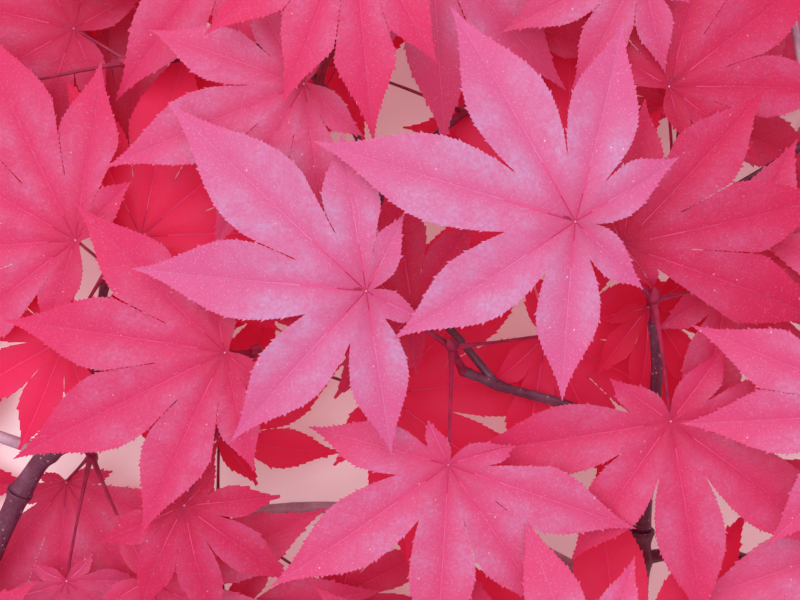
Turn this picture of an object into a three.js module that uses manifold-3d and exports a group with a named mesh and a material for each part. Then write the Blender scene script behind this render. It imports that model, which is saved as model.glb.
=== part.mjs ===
// A cut branch of red japanese maple, lying on a level surface and seen from above.
// Millimetres, +Z up. X runs to the right and Y away from the cut end of the stem.
import * as THREE from "three";
import { mergeVertices } from "three/addons/utils/BufferGeometryUtils.js";
import Module from "manifold-3d";

const wasm = await Module();
wasm.setup();

// Driving dimensions of a leaf
const LEAF_THICKNESS = 1.2;
const LOBE_HALF_WIDTH = 0.155;
const SHORT_LOBE_GAIN = 0.3;
const WIDEST_AT = 0.37;
const TAIL_WIDTH = 0.12;
const SINUS_REACH = 0.29;
const SLIT = 0.97;
const TOP_LEAF_STATIONS = [0.2, 0.42, 0.72];
const GROWN_LEAF_STATIONS = [0.36, 0.72];
const MIDDLE_LOBE = 3;
const LOBE_SHARES = [0.36, 0.72, 0.92, 1, 0.92, 0.72, 0.36];
const FOOT_REACH = 0.06;
const FOOT_WIDTH = 0.35;
const FOOT_BEHIND = 0.018;
const TOP_LEAF_SAG = 5;

// What the seeded rule picks a leaf's size and stance from
const LEAF_SIZE = [38, 60];
const LOBE_CHANGE = [0.93, 1.07];
const SPLAY = [36, 48];
const HEADING_SWING = [-35, 35];
const SLOPE_ALONG = [-0.18, 0.06];
const SLOPE_ACROSS = [-0.1, 0.1];
const GROWN_SAG = [3, 9];
const LYING_SAG = [6, 11];
const RISE_OVER_NODE = [-2, 12];

// Driving dimensions of the wood and the leaf stalks
const CLEARANCE = 0.3;
const MERGE_WITHIN = 1e-4;
const BOUGH_SIDES = 8;
const BOUGH_RINGS = 7;
const TWIG_SIDES = 6;
const TWIG_RINGS = 4;
const THICK_FOOT = 1.5;
const SPRAY_STEM_RADII = [1, 0.9];
const BUD_RADIUS = 1.9;
const STALK_RADII = [0.8, 0.5];
const STALK_SIDES = 4;
const STALK_RINGS = 2;
const STALK_ARCH = 0.05;
const STALK_ROOT = 4;
const STALK_CLIMB = 1;
const STALK_SPAN = [9, 34];

// The room that the crown grows in, and the height that it is looked at from
const CELL = 2;
const LEVEL = 1;
const ROOM_LOW = [-200, -200];
const ROOM_CELLS = [210, 190];
const ROOM_LEVELS = 90;
const CROWN_CENTRE = [-2, -9];
const CROWN_REACH = [142, 120];
const EYE_HEIGHT = 390;
const FACE_HEIGHT = 60;
const FACE_REACH = [90, 67];
const GROWN_ROOF = 47;
const LEAF_CLEARANCE = 2.6;
const LIMB_MARGIN = 1.6;
const LIMB_CHECKS = 60;
const STEM_CHECKS = 8;
const STALK_CHECKS = 18;
const STALK_CHECKS_SKIPPED = [2, 3];

// The seeded rule that the leaves under and around the top ones grow by
const SEED = 61;
const TRIES = 260;
const WORTH_IN_FACE = 4;
const WORTH_IN_CROWN = 2;
const COST_OUTSIDE = 1;
const COST_IN_OPENING = 60;
const LEAST_WORTH = 230;
const LEAST_WORTH_OF_FIRST = 20;

// The middle of the whole branch in plan, which is set over the origin. Its lowest leaf tips are at height 0.
const BOX_CENTRE = [-4.788, -30.031];

// Every limb starts on the axis of the one it stands on, at a share of that one's length,
// and runs on through its own points. The radii are at its foot and its tip.
const BOUGHS = {
  stem: { through: [[-20, -198, 4.8], [-25, -160, 5], [-26, -124, 7]], radii: [4.4, 3.5] },
  left_bough: {
    from: ["stem", 0.94],
    through: [[-60, -112, 8], [-98, -103, 9], [-112, -84, 13], [-103, -64, 19], [-95, -48, 23]],
    radii: [2.9, 2.6],
  },
  left_upper_bough: {
    from: ["left_bough", 1],
    through: [[-87, -38, 26], [-75, -33, 29], [-55, -24, 34], [-37, -14, 40]],
    radii: [2.5, 1.2],
  },
  left_side_twig: {
    from: ["left_upper_bough", 0.5],
    through: [[-74, -17, 33], [-73, -5, 35], [-71, 4, 37]],
    radii: [1.4, 1],
  },
  outer_left_twig: {
    from: ["left_upper_bough", 0.25],
    through: [[-100, -34, 24], [-114, -30, 18], [-128, -24, 12]],
    radii: [1.6, 1.1],
  },
  corner_left_twig: {
    from: ["left_bough", 0.68],
    through: [[-115, -59, 15], [-128, -57, 12]],
    radii: [1.6, 1.1],
  },
  lower_left_twig: {
    from: ["left_bough", 0.4],
    through: [[-112, -106, 9], [-121, -113, 10]],
    radii: [1.4, 1],
  },
  right_bough: {
    from: ["stem", 1],
    through: [[5, -116, 9], [36, -107, 12], [52, -93, 16], [59, -76, 20], [60, -57, 25]],
    radii: [3.4, 2.6],
  },
  right_upper_twig: {
    from: ["right_bough", 1],
    through: [[61, -37, 33], [61, -19, 41], [59, -5, 49]],
    radii: [2, 1.1],
  },
  middle_twig: {
    from: ["right_upper_twig", 0.35],
    through: [[49, -29, 34], [39, -25, 35], [25, -21, 37], [15, -17, 40]],
    radii: [1.4, 1],
  },
  middle_upper_twig: {
    from: ["middle_twig", 0.8],
    through: [[14, -9, 36], [6, 0, 36], [0, 13, 35], [-4, 24, 35]],
    radii: [1, 0.9],
  },
  top_twig: {
    from: ["middle_upper_twig", 1],
    through: [[-12, 43, 36], [-20, 53, 36], [-24, 60, 38]],
    radii: [0.9, 0.8],
  },
  high_top_twig: {
    from: ["top_twig", 1],
    through: [[-27, 69, 40], [-24, 85, 42], [-17, 99, 44]],
    radii: [0.8, 0.8],
  },
  upper_left_twig: {
    from: ["top_twig", 0.86],
    through: [[-39, 62, 36], [-53, 59, 34], [-63, 58, 33]],
    radii: [0.8, 0.8],
  },
  low_top_left_twig: {
    from: ["upper_left_twig", 0.72],
    through: [[-63, 78, 22], [-67, 93, 13]],
    radii: [0.8, 0.8],
  },
  high_middle_twig: {
    from: ["middle_upper_twig", 0.9],
    through: [[6, 37, 32], [13, 44, 31]],
    radii: [0.8, 0.8],
  },
  low_middle_twig: {
    from: ["right_bough", 0.8],
    through: [[41, -67, 13], [21, -58, 10], [-14, -54, 9], [-43, -55, 9]],
    radii: [1.9, 1.4],
  },
  right_side_twig: {
    from: ["right_bough", 0.92],
    through: [[73, -63, 22], [83, -64, 23], [100, -68, 24], [120, -65, 24]],
    radii: [1.6, 1.3],
  },
  far_right_twig: {
    from: ["right_side_twig", 1],
    through: [[119, -37, 27], [108, -12, 30], [97, 7, 33]],
    radii: [1.3, 1.1],
  },
  near_right_twig: {
    from: ["far_right_twig", 0.9],
    through: [[82, 10, 37], [69, 10, 41], [62, 9, 45]],
    radii: [1, 0.9],
  },
  top_right_twig: {
    from: ["far_right_twig", 1],
    through: [[99, 24, 33], [99, 44, 34], [94, 70, 37], [89, 84, 42]],
    radii: [1.1, 0.9],
  },
  behind_right_twig: {
    from: ["top_right_twig", 0.43],
    through: [[91, 33, 30], [79, 26, 29], [70, 21, 29]],
    radii: [0.9, 0.8],
  },
  low_top_right_twig: {
    from: ["top_right_twig", 0.52],
    through: [[113, 63, 22], [121, 77, 13]],
    radii: [0.9, 0.8],
  },
  outer_right_twig: {
    from: ["far_right_twig", 0.25],
    through: [[127, -36, 34], [131, -28, 42]],
    radii: [1, 0.9],
  },
  corner_right_twig: {
    from: ["right_side_twig", 0.9],
    through: [[135, -77, 14], [145, -84, 9]],
    radii: [1.1, 0.9],
  },
  bottom_twig: {
    from: ["right_bough", 0.54],
    through: [[54, -103, 27], [55, -107, 36]],
    radii: [1.1, 0.9],
  },
  bottom_middle_twig: {
    from: ["right_bough", 0.28],
    through: [[21, -124, 12], [31, -137, 11]],
    radii: [1.6, 1.1],
  },
};

// Every mass of leaves stands on a limb, at a share of its length, and its leaf stalks meet at its node.
// "grown" is how many leaves the seeded rule tries to add to it, and "low" lays the first of them down.
const SPRAYS = {
  right_tip_leaves: { from: ["right_upper_twig", 1], node: [58, 0, 55], grown: 1 },
  middle_leaves: { from: ["middle_twig", 1], node: [12, -11, 50], grown: 1 },
  left_leaves: { from: ["left_upper_bough", 1], node: [-34, -12, 47], grown: 1 },
  far_left_leaves: { from: ["left_side_twig", 1], node: [-69, 8, 42], grown: 2 },
  lower_left_leaves: { from: ["left_upper_bough", 0.42], node: [-78, -39, 20], grown: 1 },
  top_leaves: { from: ["high_top_twig", 1], node: [-15, 101, 47], grown: 2 },
  top_middle_leaves: { from: ["top_twig", 0.66], node: [-17, 58, 42], grown: 1 },
  near_right_leaves: { from: ["near_right_twig", 1], node: [59, 8, 48], grown: 1 },
  behind_right_leaves: { from: ["behind_right_twig", 1], node: [67, 20, 29], grown: 1 },
  top_right_leaves: { from: ["top_right_twig", 1], node: [84, 89, 46], grown: 2 },
  outer_right_leaves: { from: ["outer_right_twig", 1], node: [131, -25, 47], grown: 2 },
  bottom_leaves: { from: ["bottom_twig", 1], node: [53, -108, 42], grown: 2 },
  low_middle_leaves: { from: ["low_middle_twig", 1], node: [-47, -55, 11], grown: 3 },
  high_middle_leaves: { from: ["high_middle_twig", 1], node: [16, 46, 31], grown: 2 },
  upper_left_leaves: { from: ["upper_left_twig", 1], node: [-66, 58, 33], grown: 3 },
  low_top_right_leaves: { from: ["low_top_right_twig", 1], node: [124, 81, 11], grown: 2, low: true },
  low_top_left_leaves: { from: ["low_top_left_twig", 1], node: [-68, 97, 11], grown: 2, low: true },
  corner_right_leaves: { from: ["corner_right_twig", 1], node: [148, -87, 9], grown: 2, low: true },
  outer_left_leaves: { from: ["outer_left_twig", 1], node: [-131, -24, 12], grown: 2, low: true },
  corner_left_leaves: { from: ["corner_left_twig", 1], node: [-131, -56, 12], grown: 2, low: true },
  low_corner_left_leaves: { from: ["lower_left_twig", 1], node: [-124, -115, 11], grown: 2, low: true },
  bottom_middle_leaves: { from: ["bottom_middle_twig", 1], node: [34, -140, 11], grown: 2, low: true },
};

// The leaves seen on top: where the stalk joins, the heading of the middle lobe in degrees,
// the lengths of the seven lobes from right to left, and the angle between lobes on the left and the right.
const topLeaf = (spray, at, heading, lobes, splay) => ({ spray, at, heading, lobes, splay });
const TOP_LEAVES = [
  topLeaf("right_tip_leaves", [38, 17, 72], 163, [27, 46, 55, 60, 47, 39, 21], [51, 44]),
  topLeaf("top_leaves", [-10.5, 85, 66], 250, [15, 29, 42, 44, 50, 38, 18], [25, 32]),
  topLeaf("middle_leaves", [-7.5, 2, 66], 175, [19, 36, 62, 53, 45, 37, 14], [52, 38]),
  topLeaf("outer_right_leaves", [111, -24.5, 64], 185, [18, 33, 49, 48, 42, 33, 18], [42, 27]),
  topLeaf("bottom_leaves", [42.5, -87, 63], 112, [13, 22, 31, 41, 31, 22, 13], [42, 42]),
  topLeaf("middle_leaves", [11, -37.5, 56.5], 267, [11, 33, 50, 47, 43, 46, 16], [37, 51]),
  topLeaf("top_middle_leaves", [-22, 49.5, 54], 202, [14, 25, 38, 50, 44, 34, 18], [38, 41]),
  topLeaf("left_leaves", [-40, -12, 55], 206, [22, 49, 52, 56, 47, 28, 14], [38, 35]),
  topLeaf("far_left_leaves", [-76, 14, 46.5], 150, [19, 43, 61, 62, 57, 47, 23], [34, 34]),
  topLeaf("right_tip_leaves", [62.5, -28, 51.5], 280, [17, 50, 40, 50, 53, 45, 21], [44, 45]),
  topLeaf("near_right_leaves", [50.5, 12.5, 56.5], 12, [9, 12, 54, 53, 50, 34, 18], [34, 31]),
  topLeaf("lower_left_leaves", [-86, -47, 12], 266, [8, 13, 49, 53, 49, 30, 12], [36, 34]),
  topLeaf("behind_right_leaves", [63, 50, 46.5], 38, [14, 28, 44, 50, 47, 35, 19], [37, 38]),
  topLeaf("top_right_leaves", [55.5, 77, 52], 203, [16, 25, 35, 35, 32, 25, 14], [40, 35]),
];

// The openings that the ground or the thick bough shows through, as middles and radii at the face's height
const OPENINGS = [
  [-65, -35, 5], [-15, -26, 4], [-18, -46, 4.3], [-31, -40, 2.5], [-24, -58, 2.2],
  [28, -6, 2.7], [3, 44, 3.6], [-2, 49, 2.7], [68, 38, 1.6], [80, 30, 3.8],
  [-63, 4, 2.5], [-88, -10, 2.2], [56, -22, 1.6], [22, -54, 1.8],
  [-90, -58, 4], [-88, -50, 4], [-84, -42, 4], [-77, -36, 4], [-71, -32, 3],
];

const radians = (degrees) => (degrees * Math.PI) / 180;

const smoothCurve = (points) => new THREE.CatmullRomCurve3(points, false, "catmullrom", 0.5);

// A repeatable stream of numbers from 0 to 1
function seededNumbers(seed) {
  let state = seed;
  return () => {
    state = (state * 48271) % 2147483647;
    return state / 2147483647;
  };
}

// Half the width of a lobe's free part, from its sinus at 0 to its tip at 1, where it ends in a thin tail
function halfWidth(share, base, widest) {
  if (share < WIDEST_AT) {
    return base + (widest - base) * Math.sin(((share / WIDEST_AT) * Math.PI) / 2);
  }
  const past = (share - WIDEST_AT) / (1 - WIDEST_AT);
  const body = (1 + Math.cos(Math.PI * past)) / 2;
  return widest * ((1 - TAIL_WIDTH) * body + TAIL_WIDTH * Math.sqrt(1 - past));
}

// The angle of each lobe from the middle one, from right to left
function lobeAngles(leaf) {
  const [left, right] = leaf.splay;
  return leaf.lobes.map((_, n) => radians((n - MIDDLE_LOBE) * (n > MIDDLE_LOBE ? left : right)));
}

// The plan outline of a leaf, counter-clockwise from its foot, with the middle lobe along +u.
// A lobe stays on its own side of the line midway to the next, which leaves a narrow slit between the two.
function leafOutline(leaf) {
  const angles = lobeAngles(leaf);
  const outline = [new THREE.Vector2(-FOOT_BEHIND * leaf.lobes[MIDDLE_LOBE], 0)];
  leaf.lobes.forEach((length, n) => {
    const widest = LOBE_HALF_WIDTH * length * (1 + SHORT_LOBE_GAIN * (1 - length / leaf.longest));
    const edges = [-1, 1].map((side) => {
      const next = n + side;
      if (next < 0 || next >= leaf.lobes.length) {
        return { along: FOOT_REACH * length, across: FOOT_WIDTH * widest, room: Infinity };
      }
      const half = Math.abs(angles[next] - angles[n]) / 2;
      const reach = (SINUS_REACH * (length + leaf.lobes[next])) / 2;
      return { along: reach * Math.cos(half), across: reach * Math.sin(half), room: SLIT * Math.tan(half) };
    });
    const point = (side, along, across) =>
      new THREE.Vector2(
        along * Math.cos(angles[n]) - side * across * Math.sin(angles[n]),
        along * Math.sin(angles[n]) + side * across * Math.cos(angles[n]),
      );
    const rim = (side, edge) =>
      leaf.stations.map((share) => {
        const along = edge.along + (length - edge.along) * share;
        return point(side, along, Math.min(halfWidth(share, edge.across, widest), along * edge.room));
      });
    outline.push(point(-1, edges[0].along, edges[0].across), ...rim(-1, edges[0]), point(1, length, 0));
    outline.push(...rim(1, edges[1]).reverse());
    if (n === leaf.lobes.length - 1) {
      outline.push(point(1, edges[1].along, edges[1].across));
    }
  });
  return outline;
}

// How far the leaf's middle surface lies above its foot, at a place in its own plane
function leafRise(leaf, u, v) {
  return leaf.slope[0] * u + leaf.slope[1] * v - (leaf.sag * (u * u + v * v)) / leaf.longest ** 2;
}

// A place in the leaf's own plane, in the frame of the branch
function onLeaf(leaf, u, v, w = 0) {
  const turn = radians(leaf.heading);
  return new THREE.Vector3(
    leaf.at[0] + u * Math.cos(turn) - v * Math.sin(turn),
    leaf.at[1] + u * Math.sin(turn) + v * Math.cos(turn),
    leaf.at[2] + w + leafRise(leaf, u, v),
  );
}

// The cells of the room that a leaf lies over, row by row and then at its tips, and how far it rises in each
function leafCells(leaf) {
  const turn = radians(leaf.heading);
  const [cos, sin] = [Math.cos(turn), Math.sin(turn)];
  const outline = leafOutline(leaf).map((point) => [
    (leaf.at[0] + point.x * cos - point.y * sin - ROOM_LOW[0]) / CELL,
    (leaf.at[1] + point.x * sin + point.y * cos - ROOM_LOW[1]) / CELL,
  ]);
  const rows = outline.map((point) => point[1]);
  const cells = [];
  const addCell = (i, j) => {
    const x = ROOM_LOW[0] + i * CELL - leaf.at[0];
    const y = ROOM_LOW[1] + j * CELL - leaf.at[1];
    cells.push({ i, j, rise: leafRise(leaf, x * cos + y * sin, y * cos - x * sin) });
  };
  for (let j = Math.ceil(Math.min(...rows)); j <= Math.floor(Math.max(...rows)); j++) {
    const crossings = [];
    outline.forEach((a, n) => {
      const b = outline[(n + 1) % outline.length];
      if (a[1] > j !== b[1] > j) {
        crossings.push(a[0] + ((b[0] - a[0]) * (j - a[1])) / (b[1] - a[1]));
      }
    });
    crossings.sort((a, b) => a - b);
    for (let n = 0; n + 1 < crossings.length; n += 2) {
      for (let i = Math.ceil(crossings[n]); i <= Math.floor(crossings[n + 1]); i++) {
        addCell(i, j);
      }
    }
  }
  lobeAngles(leaf).forEach((angle, n) => {
    const x = leaf.at[0] + leaf.lobes[n] * Math.cos(turn + angle);
    const y = leaf.at[1] + leaf.lobes[n] * Math.sin(turn + angle);
    addCell(Math.round((x - ROOM_LOW[0]) / CELL), Math.round((y - ROOM_LOW[1]) / CELL));
  });
  return cells;
}

// The room: what fills each cell at each level, and which cells are already covered from above
const FREE = 0;
const SOLID = 1;
const FIRST_STALK = 2;
const filled = new Int16Array(ROOM_CELLS[0] * ROOM_CELLS[1] * ROOM_LEVELS);
const covered = new Uint8Array(ROOM_CELLS[0] * ROOM_CELLS[1]);

const inRoom = (i, j) => i >= 0 && j >= 0 && i < ROOM_CELLS[0] && j < ROOM_CELLS[1];

function fill(i, j, low, high, mark) {
  if (!inRoom(i, j)) {
    return;
  }
  const bottom = Math.max(0, Math.ceil(low / LEVEL));
  const top = Math.min(ROOM_LEVELS - 1, Math.floor(high / LEVEL));
  for (let k = bottom; k <= top; k++) {
    const index = (k * ROOM_CELLS[1] + j) * ROOM_CELLS[0] + i;
    if (filled[index] !== SOLID) {
      filled[index] = mark;
    }
  }
}

function whatFills(i, j, z) {
  const k = Math.round(z / LEVEL);
  if (!inRoom(i, j) || k < 0 || k >= ROOM_LEVELS) {
    return FREE;
  }
  return filled[(k * ROOM_CELLS[1] + j) * ROOM_CELLS[0] + i];
}

// The cell of the face that a place covers when it is looked at from above
function faceCell(x, y, z) {
  const scale = (EYE_HEIGHT - FACE_HEIGHT) / (EYE_HEIGHT - z);
  return [Math.round((x * scale - ROOM_LOW[0]) / CELL), Math.round((y * scale - ROOM_LOW[1]) / CELL)];
}

// What it is worth to cover a cell of the face
function worth(i, j) {
  const x = ROOM_LOW[0] + i * CELL;
  const y = ROOM_LOW[1] + j * CELL;
  if (OPENINGS.some(([cx, cy, radius]) => (x - cx) ** 2 + (y - cy) ** 2 < radius * radius)) {
    return -COST_IN_OPENING;
  }
  if (Math.abs(x) < FACE_REACH[0] && Math.abs(y) < FACE_REACH[1]) {
    return WORTH_IN_FACE;
  }
  const out = ((x - CROWN_CENTRE[0]) / CROWN_REACH[0]) ** 2 + ((y - CROWN_CENTRE[1]) / CROWN_REACH[1]) ** 2;
  return out < 1 ? WORTH_IN_CROWN : -COST_OUTSIDE;
}

const faceWorth = new Int16Array(ROOM_CELLS[0] * ROOM_CELLS[1]);
for (let j = 0; j < ROOM_CELLS[1]; j++) {
  for (let i = 0; i < ROOM_CELLS[0]; i++) {
    faceWorth[j * ROOM_CELLS[0] + i] = worth(i, j);
  }
}

// What a leaf newly covers is worth. An opening costs a leaf over it each time.
function freshWorth(leaf, cells) {
  let sum = 0;
  for (const cell of cells) {
    const x = ROOM_LOW[0] + cell.i * CELL;
    const y = ROOM_LOW[1] + cell.j * CELL;
    const [i, j] = faceCell(x, y, leaf.at[2] + cell.rise);
    const index = j * ROOM_CELLS[0] + i;
    if (inRoom(i, j) && (!covered[index] || faceWorth[index] === -COST_IN_OPENING)) {
      sum += faceWorth[index];
    }
  }
  return sum;
}

function placeLeaf(leaf) {
  for (const cell of leafCells(leaf)) {
    const z = leaf.at[2] + cell.rise;
    for (const dj of [-1, 0, 1]) {
      for (const di of [-1, 0, 1]) {
        fill(cell.i + di, cell.j + dj, z - LEAF_CLEARANCE, z + LEAF_CLEARANCE, SOLID);
      }
    }
    const [i, j] = faceCell(ROOM_LOW[0] + cell.i * CELL, ROOM_LOW[1] + cell.j * CELL, z);
    if (inRoom(i, j)) {
      covered[j * ROOM_CELLS[0] + i] = 1;
    }
  }
}

function placeLimb(curve, radii, steps, mark) {
  for (let n = 0; n <= steps; n++) {
    const point = curve.getPoint(n / steps);
    const radius = radii[0] + (radii[1] - radii[0]) * (n / steps);
    const reach = radius + LIMB_MARGIN;
    const low = [0, 1].map((k) => Math.ceil((point.getComponent(k) - reach - ROOM_LOW[k]) / CELL));
    const high = [0, 1].map((k) => Math.floor((point.getComponent(k) + reach - ROOM_LOW[k]) / CELL));
    for (let j = low[1]; j <= high[1]; j++) {
      for (let i = low[0]; i <= high[0]; i++) {
        fill(i, j, point.z - reach, point.z + reach, mark);
      }
    }
  }
}

// A leaf stalk: it arches from the spray's node to the leaf, and its root runs on under the middle lobe
function stalkCurve(node, leaf) {
  const start = new THREE.Vector3(...node);
  const end = onLeaf(leaf, 0, 0);
  const middle = start.clone().add(end).multiplyScalar(0.5);
  middle.z += STALK_ARCH * Math.hypot(end.x - start.x, end.y - start.y);
  return smoothCurve([start, middle, end, onLeaf(leaf, STALK_ROOT, 0)]);
}

function stalkIsClear(curve, mark) {
  for (let n = STALK_CHECKS_SKIPPED[0]; n <= STALK_CHECKS - STALK_CHECKS_SKIPPED[1]; n++) {
    const point = curve.getPoint(n / STALK_CHECKS);
    const i = Math.round((point.x - ROOM_LOW[0]) / CELL);
    const j = Math.round((point.y - ROOM_LOW[1]) / CELL);
    const found = whatFills(i, j, point.z);
    if (found !== FREE && found !== mark) {
      return false;
    }
  }
  return true;
}

// The free height nearest to the wanted one for a leaf's foot, or null
function freeHeight(leaf, cells, wanted, low, high) {
  for (let step = 0; step <= high - low; step++) {
    for (const z of step === 0 ? [wanted] : [wanted + step, wanted - step]) {
      if (z < low || z > high) {
        continue;
      }
      if (cells.every((cell) => whatFills(cell.i, cell.j, z + cell.rise) === FREE)) {
        return z;
      }
    }
  }
  return null;
}

// One trial leaf of a spray, before its height is settled
function trialLeaf(spray, node, random, lying) {
  const between = ([low, high]) => low + (high - low) * random();
  const away = between([0, 360]);
  const span = between(STALK_SPAN);
  const size = between(LEAF_SIZE);
  return {
    spray,
    span,
    at: [node[0] + span * Math.cos(radians(away)), node[1] + span * Math.sin(radians(away)), 0],
    heading: away + between(HEADING_SWING),
    lobes: LOBE_SHARES.map((share) => size * share * between(LOBE_CHANGE)),
    longest: size,
    stations: GROWN_LEAF_STATIONS,
    splay: [between(SPLAY), between(SPLAY)],
    slope: [between(SLOPE_ALONG), between(SLOPE_ACROSS)],
    sag: between(lying ? LYING_SAG : GROWN_SAG),
    rise: between(RISE_OVER_NODE),
  };
}

function growLeaf(name, spray, mark, random, first) {
  const lying = first && Boolean(spray.low);
  const least = first ? LEAST_WORTH_OF_FIRST : LEAST_WORTH;
  let best = null;
  for (let n = 0; n < TRIES; n++) {
    const leaf = trialLeaf(name, spray.node, random, lying);
    const cells = leafCells(leaf);
    const lowest = Math.min(...leafOutline(leaf).map((point) => leafRise(leaf, point.x, point.y)));
    const floor = LEAF_THICKNESS / 2 - lowest;
    const wanted = lying ? floor : Math.max(floor, spray.node[2] + leaf.rise);
    leaf.at[2] = wanted;
    const value = freshWorth(leaf, cells);
    if (value < least || (best && value <= best.value)) {
      continue;
    }
    const climb = STALK_CLIMB * leaf.span + BUD_RADIUS;
    const low = Math.max(floor, spray.node[2] - climb);
    const high = lying ? floor : Math.min(GROWN_ROOF, spray.node[2] + climb);
    const height = freeHeight(leaf, cells, wanted, low, high);
    if (height === null) {
      continue;
    }
    leaf.at[2] = height;
    if (stalkIsClear(stalkCurve(spray.node, leaf), mark)) {
      best = { value, leaf };
    }
  }
  return best && best.leaf;
}

// A closed geometry, with its shared vertices merged, as a solid that can be joined and cut
function toSolid(geometry) {
  geometry.deleteAttribute("normal");
  geometry.deleteAttribute("uv");
  const merged = mergeVertices(geometry, MERGE_WITHIN);
  return new wasm.Manifold(
    new wasm.Mesh({
      numProp: 3,
      vertProperties: new Float32Array(merged.attributes.position.array),
      triVerts: new Uint32Array(merged.index.array),
    }),
  );
}

// A solid as a named mesh
function toMesh(solid, name, material) {
  const made = solid.getMesh();
  const geometry = new THREE.BufferGeometry();
  geometry.setAttribute("position", new THREE.BufferAttribute(new Float32Array(made.vertProperties), 3));
  geometry.setIndex(new THREE.BufferAttribute(new Uint32Array(made.triVerts), 1));
  geometry.computeVertexNormals();
  const mesh = new THREE.Mesh(geometry, material);
  mesh.name = name;
  return mesh;
}

// A tapering round limb: an upright cylinder bent along a curve.
// A grown one is wider all round and longer at its tip, to cut the foot of the next limb to fit.
function limbSolid(curve, radii, sides, rings, grow = 0) {
  const geometry = new THREE.CylinderGeometry(radii[1] + grow, radii[0] + grow, 1, sides, rings);
  const position = geometry.attributes.position;
  const up = new THREE.Vector3(0, 0, 1);
  const spot = new THREE.Vector3();
  for (let n = 0; n < position.count; n++) {
    const share = position.getY(n) + 0.5;
    const along = curve.getTangent(share);
    const side = new THREE.Vector3().crossVectors(along, up).normalize();
    const top = new THREE.Vector3().crossVectors(side, along);
    spot.copy(curve.getPoint(share));
    spot.addScaledVector(side, position.getX(n)).addScaledVector(top, position.getZ(n));
    if (share === 1) {
      spot.addScaledVector(along, grow);
    }
    position.setXYZ(n, spot.x, spot.y, spot.z);
  }
  return toSolid(geometry);
}

// A leaf blade: its outline extruded to its thickness, then bent to its slope and sag
function leafSolid(leaf) {
  const blade = new THREE.ExtrudeGeometry(new THREE.Shape(leafOutline(leaf)), {
    depth: LEAF_THICKNESS,
    bevelEnabled: false,
  });
  const position = blade.attributes.position;
  for (let n = 0; n < position.count; n++) {
    const spot = onLeaf(leaf, position.getX(n), position.getY(n), position.getZ(n) - LEAF_THICKNESS / 2);
    position.setXYZ(n, spot.x, spot.y, spot.z);
  }
  return toSolid(blade);
}

const ringsOf = (bough) => (bough.radii[0] > THICK_FOOT ? BOUGH_RINGS : TWIG_RINGS);
const sidesOf = (bough) => (bough.radii[0] > THICK_FOOT ? BOUGH_SIDES : TWIG_SIDES);

// A place on the axis of a limb's solid, which runs straight from ring to ring
function onAxis([name, share]) {
  const rings = ringsOf(BOUGHS[name]);
  const ring = Math.min(Math.floor(share * rings), rings - 1);
  const next = curves[name].getPoint((ring + 1) / rings);
  return curves[name].getPoint(ring / rings).lerp(next, share * rings - ring);
}

// The curve of every limb, from the axis of the one it stands on
const curves = {};
for (const [name, bough] of Object.entries(BOUGHS)) {
  const points = bough.through.map((point) => new THREE.Vector3(...point));
  if (bough.from) {
    points.unshift(onAxis(bough.from));
  }
  curves[name] = smoothCurve(points);
}

const sprayStem = (spray) => new THREE.LineCurve3(onAxis(spray.from), new THREE.Vector3(...spray.node));

// The room is filled by the wood first, then the leaves on top, then the leaves that the rule grows
for (const [name, bough] of Object.entries(BOUGHS)) {
  placeLimb(curves[name], bough.radii, LIMB_CHECKS, SOLID);
}
const sprayNames = Object.keys(SPRAYS);
const markOf = (name) => FIRST_STALK + sprayNames.indexOf(name);
for (const [name, spray] of Object.entries(SPRAYS)) {
  placeLimb(sprayStem(spray), SPRAY_STEM_RADII, STEM_CHECKS, markOf(name));
}

const leaves = [];
function addLeaf(leaf) {
  leaves.push(leaf);
  placeLeaf(leaf);
  placeLimb(stalkCurve(SPRAYS[leaf.spray].node, leaf), STALK_RADII, STALK_CHECKS, markOf(leaf.spray));
}

for (const leaf of TOP_LEAVES) {
  const longest = Math.max(...leaf.lobes);
  addLeaf({ ...leaf, longest, stations: TOP_LEAF_STATIONS, slope: [0, 0], sag: TOP_LEAF_SAG });
}
const random = seededNumbers(SEED);
for (const [name, spray] of Object.entries(SPRAYS)) {
  for (let n = 0; n < spray.grown; n++) {
    const first = leaves.every((leaf) => leaf.spray !== name);
    const leaf = growLeaf(name, spray, markOf(name), random, first);
    if (leaf) {
      addLeaf(leaf);
    }
  }
}

const bark = new THREE.MeshStandardMaterial({ color: "#6b3a4e", roughness: 0.6, metalness: 0 });
const foliage = new THREE.MeshStandardMaterial({ color: "#d8527f", roughness: 0.55, metalness: 0 });

const branch = new THREE.Group();
const grown = {};
for (const [name, bough] of Object.entries(BOUGHS)) {
  const shape = [curves[name], bough.radii, sidesOf(bough), ringsOf(bough)];
  grown[name] = limbSolid(...shape, CLEARANCE);
  let solid = limbSolid(...shape);
  if (bough.from) {
    solid = solid.subtract(grown[bough.from[0]]);
  }
  branch.add(toMesh(solid, name, bark));
}

for (const [name, spray] of Object.entries(SPRAYS)) {
  const bud = new THREE.IcosahedronGeometry(BUD_RADIUS, 0).translate(...spray.node);
  let solid = limbSolid(sprayStem(spray), SPRAY_STEM_RADII, TWIG_SIDES, 1).add(toSolid(bud));
  for (const leaf of leaves.filter((one) => one.spray === name)) {
    solid = solid.add(limbSolid(stalkCurve(spray.node, leaf), STALK_RADII, STALK_SIDES, STALK_RINGS));
    solid = solid.add(leafSolid(leaf));
  }
  solid = solid.subtract(grown[spray.from[0]]);
  branch.add(toMesh(solid, name, foliage));
}

branch.position.set(-BOX_CENTRE[0], -BOX_CENTRE[1], 0);

export default branch;
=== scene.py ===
# %% [markdown]
# # A cut branch of red japanese maple, seen from above
#
# The branch lies on a pale floor, and the camera looks straight down on its leaves. The solids that carry
# it are loaded first, as a frame that nothing here moves. Everything that shows is then made around them:
# blades with a toothed margin and raised veins, thin stalks, and bark with its rings and pores.

# %% Load the frame
import math

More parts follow.
